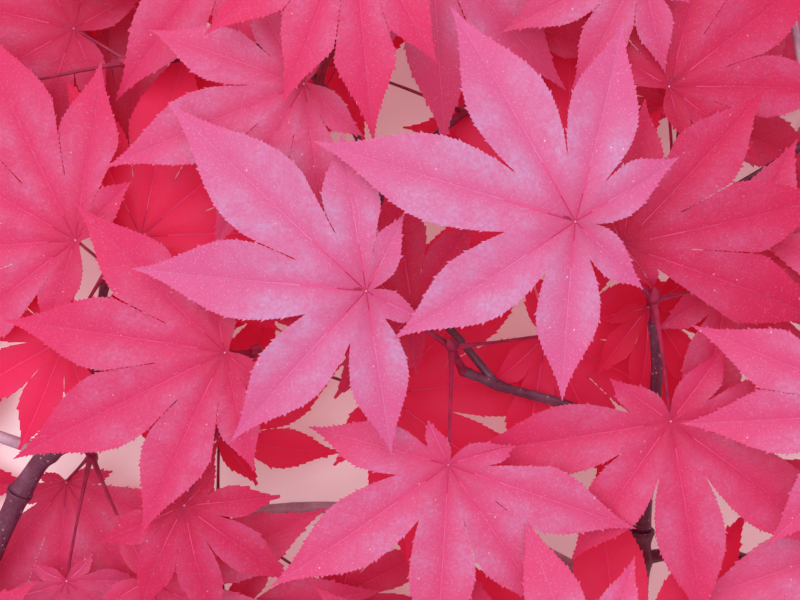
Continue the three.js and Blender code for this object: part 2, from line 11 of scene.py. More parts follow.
import bmesh
import bpy
import numpy as np
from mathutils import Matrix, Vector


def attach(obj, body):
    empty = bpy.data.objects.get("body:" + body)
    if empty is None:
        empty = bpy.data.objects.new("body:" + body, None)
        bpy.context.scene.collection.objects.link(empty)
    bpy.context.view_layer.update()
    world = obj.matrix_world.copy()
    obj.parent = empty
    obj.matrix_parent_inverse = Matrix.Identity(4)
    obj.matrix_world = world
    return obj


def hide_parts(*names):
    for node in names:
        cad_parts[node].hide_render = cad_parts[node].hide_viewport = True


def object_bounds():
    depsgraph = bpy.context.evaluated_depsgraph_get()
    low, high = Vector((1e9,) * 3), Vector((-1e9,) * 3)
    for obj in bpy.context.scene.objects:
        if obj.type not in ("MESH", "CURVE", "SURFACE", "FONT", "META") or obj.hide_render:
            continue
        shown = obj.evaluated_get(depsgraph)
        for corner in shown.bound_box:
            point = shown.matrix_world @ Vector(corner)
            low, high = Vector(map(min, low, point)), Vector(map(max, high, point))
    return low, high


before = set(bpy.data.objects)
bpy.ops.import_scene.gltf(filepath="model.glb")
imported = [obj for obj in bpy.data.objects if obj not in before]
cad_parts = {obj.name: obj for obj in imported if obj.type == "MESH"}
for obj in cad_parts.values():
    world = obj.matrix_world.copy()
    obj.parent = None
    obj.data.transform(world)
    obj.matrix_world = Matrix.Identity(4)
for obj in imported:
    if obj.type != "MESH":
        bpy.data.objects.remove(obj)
cad_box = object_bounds()
MM = 0.001
# The middle of the branch in its plan's own millimetres. The frame has it over the origin.
BOX_CENTRE = np.array([-4.788, -30.031, 0.0])
print("the frame holds", len(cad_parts), "solids")

# %% [markdown]
# ## The camera
#
# The photograph looks straight down on the top leaves. The eye is put over the middle of the picture, and
# the focal length is worked out from the width that the picture covers at the height of those leaves.

# %% Set the camera over the leaves
# In millimetres: how high the eye and the top leaves are, and how much the picture shows at those leaves.
EYE_HEIGHT = 390.0
FACE_HEIGHT = 60.0
FACE_WIDTH = 180.0
SENSOR_WIDTH = 36.0

camera_data = bpy.data.cameras.new("camera")
camera_data.sensor_width = SENSOR_WIDTH
camera_data.lens = SENSOR_WIDTH * (EYE_HEIGHT - FACE_HEIGHT) / FACE_WIDTH
camera = bpy.data.objects.new("camera", camera_data)
camera.location = (np.array([0.0, 0.0, EYE_HEIGHT]) - BOX_CENTRE) * MM
bpy.context.collection.objects.link(camera)
bpy.context.scene.camera = camera
print("focal length", round(camera_data.lens, 1), "mm")

# %% [markdown]
# ## Colours and nodes
#
# Colours are written as they look on a screen, in sRGB, and one function turns them to the linear numbers
# that a renderer adds and mixes. A second function adds a shader node, with a value or a link for each of
# its inputs, and hands back the output that the next node takes. So a material reads as a short list.


# %% Helpers for materials
def linear(hex_colour):
    """A colour such as #d8527f as linear red, green, blue and an alpha of 1."""
    parts = [int(hex_colour[k : k + 2], 16) / 255 for k in (1, 3, 5)]
    return [c / 12.92 if c <= 0.04045 else ((c + 0.055) / 1.055) ** 2.4 for c in parts] + [1.0]


def add(tree, kind, inputs=None, take=0, **settings):
    """Adds a shader node, sets it, gives its inputs their values or links, and hands back one output."""
    made = tree.nodes.new("ShaderNode" + kind)
    for name, value in settings.items():
        setattr(made, name, value)
    for name, value in (inputs or {}).items():
        if isinstance(value, bpy.types.NodeSocket):
            tree.links.new(value, made.inputs[name])
        else:
            made.inputs[name].default_value = value
    return made.outputs[take] if made.outputs else None


def new_material(name):
    """An empty material and its node tree."""
    material = bpy.data.materials.new(name)
    material.use_nodes = True
    material.node_tree.nodes.clear()
    return material, material.node_tree


# A Mix node lays one colour over another. With colours it has these three inputs, and output number 2.
SHARE, UNDER, OVER = 0, 6, 7
LAYERED = {"take": 2, "data_type": "RGBA"}
print("a mid red is", [round(part, 3) for part in linear("#d8527f")], "in linear numbers")

# %% [markdown]
# ## The floor and the light
#
# The floor is a plain pale sheet, faintly lit from within, so that the gaps between the leaves stay bright.
# Far from the branch it fades to grey, so that it doesn't glare when it is seen from the side. The light is
# soft, as under a bright overcast sky: an even sky all round, and one wide panel over the branch that gives
# the leaves their faint shine.

# %% Lay the floor and hang the light
FLOOR_SIZE = 8.0
FLOOR_COLOUR = "#faedf2"
FLOOR_GRAIN_COLOUR = "#f3e6ec"
FAR_FLOOR_COLOUR = "#dcdadc"
FLOOR_FADES = {"From Min": 0.3, "From Max": 1.5}
FLOOR_GRAINS_ACROSS = 60
FLOOR_ROUGHNESS = 0.9
FLOOR_GLOW = 0.12
SKY_COLOUR = "#fff6fa"
SKY_STRENGTH = 0.98
PANEL_SIZE = 1.4
PANEL_PLACE = (-0.35, 0.45, 1.3)
PANEL_WATTS = 16.0

floor_mesh = bpy.data.meshes.new("floor")
floor_form = bmesh.new()
bmesh.ops.create_grid(floor_form, x_segments=1, y_segments=1, size=FLOOR_SIZE / 2)
floor_form.to_mesh(floor_mesh)
floor_form.free()
floor = bpy.data.objects.new("floor", floor_mesh)
bpy.context.collection.objects.link(floor)

# Matt paint gives the eye one even tone, which a grain about 13 cm wide only just breaks up.
floor_paint, tree = new_material("matt_pale_floor")
grain = add(tree, "TexNoise", {"Scale": FLOOR_GRAINS_ACROSS, "Detail": 4.0})
near = {SHARE: grain, UNDER: linear(FLOOR_COLOUR), OVER: linear(FLOOR_GRAIN_COLOUR)}
place = add(tree, "TexCoord", take="Object")
from_middle = add(tree, "VectorMath", {0: place}, take="Value", operation="LENGTH")
faded = add(tree, "MapRange", {"Value": from_middle, **FLOOR_FADES})
far = {SHARE: faded, UNDER: add(tree, "Mix", near, **LAYERED), OVER: linear(FAR_FLOOR_COLOUR)}
lit = {"Emission Color": linear(FLOOR_COLOUR), "Emission Strength": FLOOR_GLOW}
looks = {"Base Color": add(tree, "Mix", far, **LAYERED), "Roughness": FLOOR_ROUGHNESS, **lit}
add(tree, "OutputMaterial", {"Surface": add(tree, "BsdfPrincipled", looks)})
floor_mesh.materials.append(floor_paint)

world = bpy.data.worlds.new("even_sky")
world.use_nodes = True
world.node_tree.nodes["Background"].inputs["Color"].default_value = linear(SKY_COLOUR)
world.node_tree.nodes["Background"].inputs["Strength"].default_value = SKY_STRENGTH
bpy.context.scene.world = world

panel_data = bpy.data.lights.new("soft_panel", "AREA")
panel_data.size = PANEL_SIZE
panel_data.energy = PANEL_WATTS
panel = bpy.data.objects.new("soft_panel", panel_data)
panel.location = PANEL_PLACE
towards = camera.location.copy()
towards.z = 0.0
panel.rotation_mode = "QUATERNION"
panel.rotation_quaternion = (towards - panel.location).to_track_quat("-Z", "Y")
bpy.context.collection.objects.link(panel)
bpy.context.scene.view_settings.view_transform = "Standard"
print("the floor is", FLOOR_SIZE, "m wide, and the panel gives", PANEL_WATTS, "W")

# %% [markdown]
# ## The plan of the branch
#
# A branch is told by a few real sizes, in millimetres, and a short list of limbs. Each limb starts on the
# axis of the one that it stands on and runs through its own points. Each spray of leaves stands on a limb,
# and its stalks meet at one node. The same plan made the solids, so both come out in the same place.

# %% Sizes of a leaf and of the wood
LEAF_THICKNESS = 1.2
LOBE_HALF_WIDTH = 0.155
SHORT_LOBE_GAIN = 0.3
WIDEST_AT = 0.37
TAIL_WIDTH = 0.12
SINUS_REACH = 0.29
SLIT = 0.97
TOP_LEAF_STATIONS = [0.2, 0.42, 0.72]
GROWN_LEAF_STATIONS = [0.36, 0.72]
MIDDLE_LOBE = 3
LOBE_SHARES = [0.36, 0.72, 0.92, 1, 0.92, 0.72, 0.36]
FOOT_REACH = 0.06
FOOT_WIDTH = 0.35
FOOT_BEHIND = 0.018
TOP_LEAF_SAG = 5

LEAF_SIZE = [38, 60]
LOBE_CHANGE = [0.93, 1.07]
SPLAY = [36, 48]
HEADING_SWING = [-35, 35]
SLOPE_ALONG = [-0.18, 0.06]
SLOPE_ACROSS = [-0.1, 0.1]
GROWN_SAG = [3, 9]
LYING_SAG = [6, 11]
RISE_OVER_NODE = [-2, 12]

BOUGH_RINGS = 7
TWIG_RINGS = 4
THICK_FOOT = 1.5
SPRAY_STEM_RADII = [1, 0.9]
BUD_RADIUS = 1.9
STALK_RADII = [0.8, 0.5]
STALK_ARCH = 0.05
STALK_ROOT = 4
STALK_CLIMB = 1
STALK_SPAN = [9, 34]

# %% The limbs: the limb that each stands on and the share along it, its points, and its two radii
BOUGHS = {
    "stem": (None, [[-20, -198, 4.8], [-25, -160, 5], [-26, -124, 7]], [4.4, 3.5]),
    "left_bough": (
        ["stem", 0.94],
        [[-60, -112, 8], [-98, -103, 9], [-112, -84, 13], [-103, -64, 19], [-95, -48, 23]],
        [2.9, 2.6],
    ),
    "left_upper_bough": (
        ["left_bough", 1],
        [[-87, -38, 26], [-75, -33, 29], [-55, -24, 34], [-37, -14, 40]],
        [2.5, 1.2],
    ),
    "left_side_twig": (["left_upper_bough", 0.5], [[-74, -17, 33], [-73, -5, 35], [-71, 4, 37]], [1.4, 1]),
    "outer_left_twig": (
        ["left_upper_bough", 0.25],
        [[-100, -34, 24], [-114, -30, 18], [-128, -24, 12]],
        [1.6, 1.1],
    ),
    "corner_left_twig": (["left_bough", 0.68], [[-115, -59, 15], [-128, -57, 12]], [1.6, 1.1]),
    "lower_left_twig": (["left_bough", 0.4], [[-112, -106, 9], [-121, -113, 10]], [1.4, 1]),
    "right_bough": (
        ["stem", 1],
        [[5, -116, 9], [36, -107, 12], [52, -93, 16], [59, -76, 20], [60, -57, 25]],
        [3.4, 2.6],
    ),
    "right_upper_twig": (["right_bough", 1], [[61, -37, 33], [61, -19, 41], [59, -5, 49]], [2, 1.1]),
    "middle_twig": (
        ["right_upper_twig", 0.35],
        [[49, -29, 34], [39, -25, 35], [25, -21, 37], [15, -17, 40]],
        [1.4, 1],
    ),
    "middle_upper_twig": (
        ["middle_twig", 0.8],
        [[14, -9, 36], [6, 0, 36], [0, 13, 35], [-4, 24, 35]],
        [1, 0.9],
    ),
    "top_twig": (["middle_upper_twig", 1], [[-12, 43, 36], [-20, 53, 36], [-24, 60, 38]], [0.9, 0.8]),
    "high_top_twig": (["top_twig", 1], [[-27, 69, 40], [-24, 85, 42], [-17, 99, 44]], [0.8, 0.8]),
    "upper_left_twig": (["top_twig", 0.86], [[-39, 62, 36], [-53, 59, 34], [-63, 58, 33]], [0.8, 0.8]),
    "low_top_left_twig": (["upper_left_twig", 0.72], [[-63, 78, 22], [-67, 93, 13]], [0.8, 0.8]),
    "high_middle_twig": (["middle_upper_twig", 0.9], [[6, 37, 32], [13, 44, 31]], [0.8, 0.8]),
    "low_middle_twig": (
        ["right_bough", 0.8],
        [[41, -67, 13], [21, -58, 10], [-14, -54, 9], [-43, -55, 9]],
        [1.9, 1.4],
    ),
    "right_side_twig": (
        ["right_bough", 0.92],
        [[73, -63, 22], [83, -64, 23], [100, -68, 24], [120, -65, 24]],
        [1.6, 1.3],
    ),
    "far_right_twig": (["right_side_twig", 1], [[119, -37, 27], [108, -12, 30], [97, 7, 33]], [1.3, 1.1]),
    "near_right_twig": (["far_right_twig", 0.9], [[82, 10, 37], [69, 10, 41], [62, 9, 45]], [1, 0.9]),
    "top_right_twig": (
        ["far_right_twig", 1],
        [[99, 24, 33], [99, 44, 34], [94, 70, 37], [89, 84, 42]],
        [1.1, 0.9],
    ),
    "behind_right_twig": (["top_right_twig", 0.43], [[91, 33, 30], [79, 26, 29], [70, 21, 29]], [0.9, 0.8]),
    "low_top_right_twig": (["top_right_twig", 0.52], [[113, 63, 22], [121, 77, 13]], [0.9, 0.8]),
    "outer_right_twig": (["far_right_twig", 0.25], [[127, -36, 34], [131, -28, 42]], [1, 0.9]),
    "corner_right_twig": (["right_side_twig", 0.9], [[135, -77, 14], [145, -84, 9]], [1.1, 0.9]),
    "bottom_twig": (["right_bough", 0.54], [[54, -103, 27], [55, -107, 36]], [1.1, 0.9]),
    "bottom_middle_twig": (["right_bough", 0.28], [[21, -124, 12], [31, -137, 11]], [1.6, 1.1]),
}

# %% The sprays: the limb and the share along it, the node, the leaves grown on it, and whether it lies low
SPRAYS = {
    "right_tip_leaves": (["right_upper_twig", 1], [58, 0, 55], 1, False),
    "middle_leaves": (["middle_twig", 1], [12, -11, 50], 1, False),
    "left_leaves": (["left_upper_bough", 1], [-34, -12, 47], 1, False),
    "far_left_leaves": (["left_side_twig", 1], [-69, 8, 42], 2, False),
    "lower_left_leaves": (["left_upper_bough", 0.42], [-78, -39, 20], 1, False),
    "top_leaves": (["high_top_twig", 1], [-15, 101, 47], 2, False),
    "top_middle_leaves": (["top_twig", 0.66], [-17, 58, 42], 1, False),
    "near_right_leaves": (["near_right_twig", 1], [59, 8, 48], 1, False),
    "behind_right_leaves": (["behind_right_twig", 1], [67, 20, 29], 1, False),
    "top_right_leaves": (["top_right_twig", 1], [84, 89, 46], 2, False),
    "outer_right_leaves": (["outer_right_twig", 1], [131, -25, 47], 2, False),
    "bottom_leaves": (["bottom_twig", 1], [53, -108, 42], 2, False),
    "low_middle_leaves": (["low_middle_twig", 1], [-47, -55, 11], 3, False),
    "high_middle_leaves": (["high_middle_twig", 1], [16, 46, 31], 2, False),
    "upper_left_leaves": (["upper_left_twig", 1], [-66, 58, 33], 3, False),
    "low_top_right_leaves": (["low_top_right_twig", 1], [124, 81, 11], 2, True),
    "low_top_left_leaves": (["low_top_left_twig", 1], [-68, 97, 11], 2, True),
    "corner_right_leaves": (["corner_right_twig", 1], [148, -87, 9], 2, True),
    "outer_left_leaves": (["outer_left_twig", 1], [-131, -24, 12], 2, True),
    "corner_left_leaves": (["corner_left_twig", 1], [-131, -56, 12], 2, True),
    "low_corner_left_leaves": (["lower_left_twig", 1], [-124, -115, 11], 2, True),
    "bottom_middle_leaves": (["bottom_middle_twig", 1], [34, -140, 11], 2, True),
}

# %% [markdown]
# ## The leaves on top
#
# These are the leaves that the picture shows best, whole or cut by its edge. Each row gives its spray,
# where its stalk joins, the heading of its middle lobe in degrees, the lengths of its seven lobes from
# right to left, the angle between lobes on its left and on its right, and the tint of its upper side.

# %% The leaves seen on top, and the openings between them
TOP_LEAVES = [
    ("right_tip_leaves", [38, 17, 72], 163, [27, 46, 55, 60, 47, 39, 21], [51, 44], "mauve"),
    ("top_leaves", [-10.5, 85, 66], 250, [15, 29, 42, 44, 50, 38, 18], [25, 32], "rose"),
    ("middle_leaves", [-7.5, 2, 66], 175, [19, 36, 62, 53, 45, 37, 14], [52, 38], "mauve"),
    ("outer_right_leaves", [111, -24.5, 64], 185, [18, 33, 49, 48, 42, 33, 18], [42, 27], "pink"),
    ("bottom_leaves", [42.5, -87, 63], 112, [13, 22, 31, 41, 31, 22, 13], [42, 42], "pink"),
    ("middle_leaves", [11, -37.5, 56.5], 267, [11, 33, 50, 47, 43, 46, 16], [37, 51], "pink"),
    ("top_middle_leaves", [-22, 49.5, 54], 202, [14, 25, 38, 50, 44, 34, 18], [38, 41], "pink"),
    ("left_leaves", [-40, -12, 55], 206, [22, 49, 52, 56, 47, 28, 14], [38, 35], "rose"),
    ("far_left_leaves", [-76, 14, 46.5], 150, [19, 43, 61, 62, 57, 47, 23], [34, 34], "rose"),
    ("right_tip_leaves", [62.5, -28, 51.5], 280, [17, 50, 40, 50, 53, 45, 21], [44, 45], "rose"),
    ("near_right_leaves", [50.5, 12.5, 56.5], 12, [9, 12, 54, 53, 50, 34, 18], [34, 31], "warm"),
    ("lower_left_leaves", [-86, -47, 12], 266, [8, 13, 49, 53, 49, 30, 12], [36, 34], "rose"),
    ("behind_right_leaves", [63, 50, 46.5], 38, [14, 28, 44, 50, 47, 35, 19], [37, 38], "warm"),
    ("top_right_leaves", [55.5, 77, 52], 203, [16, 25, 35, 35, 32, 25, 14], [40, 35], "pink"),
]
# Where the floor shows between the leaves, and in the last row the left bough: each a place and a radius.
OPENINGS = np.array(
    [
        [-65, -35, 5], [-15, -26, 4], [-18, -46, 4.3], [-31, -40, 2.5], [-24, -58, 2.2],
        [28, -6, 2.7], [3, 44, 3.6], [-2, 49, 2.7], [68, 38, 1.6], [80, 30, 3.8],
        [-63, 4, 2.5], [-88, -10, 2.2], [56, -22, 1.6], [22, -54, 1.8],
        [-90, -58, 4], [-88, -50, 4], [-84, -42, 4], [-77, -36, 4], [-71, -32, 3],
    ]
)  # fmt: skip

# %% [markdown]
# ## Curves and outlines
#
# A limb, or a leaf stalk, bends as a spline through its points. A leaf's outline is seven lobes round the
# foot: each is a lance whose half width swells to its widest and then runs out to a drawn-out tip.


# %% Curves through points, and a repeatable stream of numbers
STREAM_FACTOR = 48271
STREAM_LENGTH = 2147483647


def seeded_numbers(seed):
    """A repeatable stream of numbers from 0 to 1."""
    state = seed
    while True:
        state = state * STREAM_FACTOR % STREAM_LENGTH
        yield state / STREAM_LENGTH


def along_curve(points, shares):
    """Places on a smooth curve through the points, at shares of its spans."""
    points = np.asarray(points, float)
    padded = np.vstack([2 * points[0] - points[1], points, 2 * points[-1] - points[-2]])
    place = np.atleast_1d(np.asarray(shares, float)) * (len(points) - 1)
    start = np.minimum(np.floor(place).astype(int), len(points) - 2)
    w = (place - start)[:, None]
    before, here, there, after = (padded[start + k] for k in range(4))
    leave, reach = (there - before) / 2, (after - here) / 2
    square = -3 * here + 3 * there - 2 * leave - reach
    cube = 2 * here - 2 * there + leave + reach
    return here + leave * w + square * w**2 + cube * w**3


def on_axis(name, share):
    """A place on the axis of a limb's solid, which runs straight from ring to ring."""
    rings = BOUGH_RINGS if BOUGHS[name][2][0] > THICK_FOOT else TWIG_RINGS
    ring = min(math.floor(share * rings), rings - 1)
    ends = along_curve(limb_points[name], [ring / rings, (ring + 1) / rings])
    return ends[0] + (ends[1] - ends[0]) * (share * rings - ring)


limb_points = {}
for limb, (foot, through, _) in BOUGHS.items():
    limb_points[limb] = np.array(([on_axis(*foot)] if foot else []) + [np.array(p, float) for p in through])
print(len(limb_points), "limbs have their curves")


# %% The outline of a leaf, its rise, and its places in the branch
def half_width(share, base, widest):
    """Half the width of a lobe's free part, from its sinus at 0 to its tip at 1, where it ends in a tail."""
    share = np.asarray(share, float)
    past = np.clip((share - WIDEST_AT) / (1 - WIDEST_AT), 0, 1)
    swell = base + (widest - base) * np.sin(share / WIDEST_AT * math.pi / 2)
    body = (1 + np.cos(math.pi * past)) / 2
    tailed = widest * ((1 - TAIL_WIDTH) * body + TAIL_WIDTH * np.sqrt(1 - past))
    return np.where(share < WIDEST_AT, swell, tailed)


def lobe_angles(leaf):
    """The angle of each lobe from the middle one, from right to left."""
    left, right = leaf["splay"]
    steps = np.arange(len(leaf["lobes"])) - MIDDLE_LOBE
    return np.radians(steps * np.where(steps > 0, left, right))


def widest_of(leaf):
    """Half the width of each lobe where it is widest. The shorter ones are stouter."""
    lobes = np.array(leaf["lobes"], float)
    return LOBE_HALF_WIDTH * lobes * (1 + SHORT_LOBE_GAIN * (1 - lobes / leaf["longest"]))


def free_edges(leaf):
    """Where the right and left free edges of each lobe start, along it and out from it, and their room.

    A lobe stays on its own side of the line midway to the next, which leaves a narrow slit between the two.
    """
    lobes = np.array(leaf["lobes"], float)
    along = np.outer(lobes, [FOOT_REACH, FOOT_REACH])
    across = np.outer(widest_of(leaf), [FOOT_WIDTH, FOOT_WIDTH])
    room = np.full(along.shape, np.inf)
    half = np.diff(lobe_angles(leaf)) / 2
    reach = SINUS_REACH * (lobes[:-1] + lobes[1:]) / 2
    along[1:, 0] = along[:-1, 1] = reach * np.cos(half)
    across[1:, 0] = across[:-1, 1] = reach * np.sin(half)
    room[1:, 0] = room[:-1, 1] = SLIT * np.tan(half)
    return along, across, room


def turned(along, across, angles):
    """Places told along and across an axis, turned with the axis into the leaf's plane."""
    cos, sin = np.cos(angles), np.sin(angles)
    return np.stack([along * cos - across * sin, along * sin + across * cos], axis=-1)


def leaf_outline(leaf):
    """The plan outline that the solid leaf has, counter-clockwise from its foot."""
    lobes = np.array(leaf["lobes"], float)[:, None]
    along, across, room = free_edges(leaf)
    stations = np.array(leaf["stations"])
    rim = along[:, :, None] + (lobes - along)[:, :, None] * stations
    out = half_width(stations, across[:, :, None], widest_of(leaf)[:, None, None])
    out = np.minimum(out, rim * room[:, :, None])
    u = np.hstack([along[:, :1], rim[:, 0], lobes, rim[:, 1, ::-1], along[:, 1:]])
    v = np.hstack([-across[:, :1], -out[:, 0], 0 * lobes, out[:, 1, ::-1], across[:, 1:]])
    points = turned(u, v, lobe_angles(leaf)[:, None])
    foot = [[-FOOT_BEHIND * leaf["lobes"][MIDDLE_LOBE], 0.0]]
    return np.vstack([foot, points[:, :-1].reshape(-1, 2), points[-1, -1:]])


def leaf_rise(leaf, u, v):
    """How far the leaf's middle surface lies above its foot."""
    return leaf["slope"][0] * u + leaf["slope"][1] * v - leaf["sag"] * (u * u + v * v) / leaf["longest"] ** 2


def on_leaf(leaf, u, v, w=0.0):
    """Places in the leaf's own plane, in the branch's millimetres."""
    cos, sin = math.cos(math.radians(leaf["heading"])), math.sin(math.radians(leaf["heading"]))
    x = leaf["at"][0] + u * cos - v * sin
    y = leaf["at"][1] + u * sin + v * cos
    return np.stack(np.broadcast_arrays(x, y, leaf["at"][2] + w + leaf_rise(leaf, u, v)), axis=-1)


# %% [markdown]
# ## The room
#
# A leaf may only grow where nothing is in its way. The room round the branch is split into small cells:
# the wood and the leaves on top fill theirs first, and then each spray tries a few hundred leaves of random
# size and stance and keeps the one that covers the most open floor, at the free height nearest to its
# node. Looked at from above, covering an opening that the picture shows costs more than it gains.

# %% The cells of the room, and what it is worth to cover each from above
CELL = 2
ROOM_LOW = np.array([-200, -200])
ROOM_CELLS = (210, 190)
ROOM_LEVELS = 90
CROWN_CENTRE = [-2, -9]
CROWN_REACH = [142, 120]
FACE_REACH = [90, 67]
GROWN_ROOF = 47
LEAF_CLEARANCE = 2.6
LIMB_MARGIN = 1.6
LIMB_CHECKS = 60
STEM_CHECKS = 8
STALK_CHECKS = 18
STALK_CHECKS_SKIPPED = [2, 3]

SEED = 61
TRIES = 260
WORTH_IN_FACE = 4
WORTH_IN_CROWN = 2
COST_OUTSIDE = 1
COST_IN_OPENING = 60
LEAST_WORTH = 230
LEAST_WORTH_OF_FIRST = 20

FREE, SOLID, FIRST_STALK = 0, 1, 2
filled = np.zeros((ROOM_LEVELS, ROOM_CELLS[1], ROOM_CELLS[0]), np.int16)
covered = np.zeros((ROOM_CELLS[1], ROOM_CELLS[0]), bool)
cell_x = ROOM_LOW[0] + np.arange(ROOM_CELLS[0])[None, :] * CELL
cell_y = ROOM_LOW[1] + np.arange(ROOM_CELLS[1])[:, None] * CELL
out = ((cell_x - CROWN_CENTRE[0]) / CROWN_REACH[0]) ** 2 + ((cell_y - CROWN_CENTRE[1]) / CROWN_REACH[1]) ** 2
face_worth = np.where(out < 1, WORTH_IN_CROWN, -COST_OUTSIDE)
face_worth[(abs(cell_x) < FACE_REACH[0]) & (abs(cell_y) < FACE_REACH[1])] = WORTH_IN_FACE


def keep_open(circles):
    """Make it cost to cover these circles, each a place and a radius at the height of the top leaves."""
    for x, y, radius in circles:
        face_worth[(cell_x - x) ** 2 + (cell_y - y) ** 2 < radius * radius] = -COST_IN_OPENING


keep_open(OPENINGS)
print("the room has", filled.size, "cells")


# %% How leaves, limbs and stalks fill the room
def nearest(value):
    """The whole number nearest to a value, with halves rounded up."""
    return np.floor(np.asarray(value) + 0.5).astype(int)


def cell_of(x, y):
    """The cells that places in millimetres are nearest to."""
    return nearest((x - ROOM_LOW[0]) / CELL), nearest((y - ROOM_LOW[1]) / CELL)


def in_room(i, j):
    """Which cells lie in the room."""
    return (i >= 0) & (j >= 0) & (i < ROOM_CELLS[0]) & (j < ROOM_CELLS[1])


def leaf_cells(leaf, outline):
    """The cells that a leaf lies over, row by row and then at its tips, with its rise in each."""
    turn = math.radians(leaf["heading"])
    cos, sin = math.cos(turn), math.sin(turn)
    u, v = outline.T
    x = (leaf["at"][0] + u * cos - v * sin - ROOM_LOW[0]) / CELL
    y = (leaf["at"][1] + u * sin + v * cos - ROOM_LOW[1]) / CELL
    rows = np.arange(math.ceil(y.min()), math.floor(y.max()) + 1)
    columns = np.arange(math.ceil(x.min()), math.floor(x.max()) + 1)
    next_x, next_y = np.roll(x, -1), np.roll(y, -1)
    crossed = (y > rows[:, None]) != (next_y > rows[:, None])
    rise = np.where(next_y == y, 1.0, next_y - y)
    crossing = np.where(crossed, x + (next_x - x) * (rows[:, None] - y) / rise, np.inf)
    inside = (crossing[:, :, None] <= columns).sum(axis=1) % 2 == 1
    j, i = np.nonzero(inside)
    i, j = columns[i], rows[j]
    angles = lobe_angles(leaf) + turn
    lobes = np.array(leaf["lobes"])
    tip_i, tip_j = cell_of(leaf["at"][0] + lobes * np.cos(angles), leaf["at"][1] + lobes * np.sin(angles))
    i, j = np.concatenate([i, tip_i]), np.concatenate([j, tip_j])
    x = ROOM_LOW[0] + i * CELL - leaf["at"][0]
    y = ROOM_LOW[1] + j * CELL - leaf["at"][1]
    return i, j, leaf_rise(leaf, x * cos + y * sin, y * cos - x * sin)


def what_fills(i, j, z):
    """What fills the room at places: nothing, something solid, or a spray's stalks."""
    k = nearest(z)
    inside = in_room(i, j) & (k >= 0) & (k < ROOM_LEVELS)
    found = np.zeros(np.shape(inside), int)
    found[inside] = filled[k[inside], j[inside], i[inside]]
    return found


def fill(i, j, low, high, mark):
    """Fills one column of cells between two heights, except where it is already solid."""
    if in_room(i, j):
        column = filled[max(0, math.ceil(low)) : min(ROOM_LEVELS - 1, math.floor(high)) + 1, j, i]
        column[column != SOLID] = mark


def face_cells(i, j, z):
    """The cells of the face that places cover when they are looked at from above."""
    scale = (EYE_HEIGHT - FACE_HEIGHT) / (EYE_HEIGHT - z)
    return cell_of((ROOM_LOW[0] + i * CELL) * scale, (ROOM_LOW[1] + j * CELL) * scale)


def fresh_worth(leaf, cells):
    """What a leaf newly covers is worth. An opening costs a leaf over it each time."""
    i, j = face_cells(cells[0], cells[1], leaf["at"][2] + cells[2])
    inside = in_room(i, j)
    i, j = i[inside], j[inside]
    counted = ~covered[j, i] | (face_worth[j, i] == -COST_IN_OPENING)
    return int(face_worth[j, i][counted].sum())


def place_leaf(leaf):
    """Fills the room round a leaf, and covers the face under it."""
    i, j, rise = leaf_cells(leaf, leaf_outline(leaf))
    z = leaf["at"][2] + rise
    for column, row, height in zip(i, j, z):
        for dj in (-1, 0, 1):
            for di in (-1, 0, 1):
                fill(column + di, row + dj, height - LEAF_CLEARANCE, height + LEAF_CLEARANCE, SOLID)
    i, j = face_cells(i, j, z)
    inside = in_room(i, j)
    covered[j[inside], i[inside]] = True


def place_limb(points, radii, steps, mark):
    """Fills the room round a limb or a stalk."""
    shares = np.arange(steps + 1) / steps
    for share, spot in zip(shares, along_curve(points, shares)):
        reach = radii[0] + (radii[1] - radii[0]) * share + LIMB_MARGIN
        low = [math.ceil((spot[k] - reach - ROOM_LOW[k]) / CELL) for k in (0, 1)]
        high = [math.floor((spot[k] + reach - ROOM_LOW[k]) / CELL) for k in (0, 1)]
        for j in range(low[1], high[1] + 1):
            for i in range(low[0], high[0] + 1):
                fill(i, j, spot[2] - reach, spot[2] + reach, mark)


def stalk_points(node, leaf):
    """A leaf stalk arches from its node to the leaf, and its root runs on under the middle lobe."""
    start, end = np.array(node, float), on_leaf(leaf, 0.0, 0.0)
    middle = (start + end) / 2
    middle[2] += STALK_ARCH * math.hypot(end[0] - start[0], end[1] - start[1])
    return np.array([start, middle, end, on_leaf(leaf, STALK_ROOT, 0.0)])


def stalk_is_clear(points, mark):
    """Whether a stalk meets nothing but its own spray's stalks."""
    first, last = STALK_CHECKS_SKIPPED
    spots = along_curve(points, np.arange(first, STALK_CHECKS - last + 1) / STALK_CHECKS)
    found = what_fills(*cell_of(spots[:, 0], spots[:, 1]), spots[:, 2])
    return bool(np.all((found == FREE) | (found == mark)))


# %% [markdown]
# ## Growing the leaves
#
# The order of the random numbers is part of the rule: each trial leaf draws the same numbers in the same
# order, so the leaves come out where the solids have theirs.


# %% One trial leaf, its free height, and the best of many trials
def trial_leaf(spray, random, lying, sizes=LEAF_SIZE, spans=STALK_SPAN):
    """One trial leaf of a spray, before its height is settled."""
    node = SPRAYS[spray][1]

    def pick(low_high):
        return low_high[0] + (low_high[1] - low_high[0]) * next(random)

    away = pick([0, 360])
    turn = math.radians(away)
    span = pick(spans)
    size = pick(sizes)
    return {
        "spray": spray,
        "span": span,
        "at": [node[0] + span * math.cos(turn), node[1] + span * math.sin(turn), 0],
        "heading": away + pick(HEADING_SWING),
        "lobes": [size * share * pick(LOBE_CHANGE) for share in LOBE_SHARES],
        "longest": size,
        "stations": GROWN_LEAF_STATIONS,
        "splay": [pick(SPLAY), pick(SPLAY)],
        "slope": [pick(SLOPE_ALONG), pick(SLOPE_ACROSS)],
        "sag": pick(LYING_SAG if lying else GROWN_SAG),
        "rise": pick(RISE_OVER_NODE),
    }


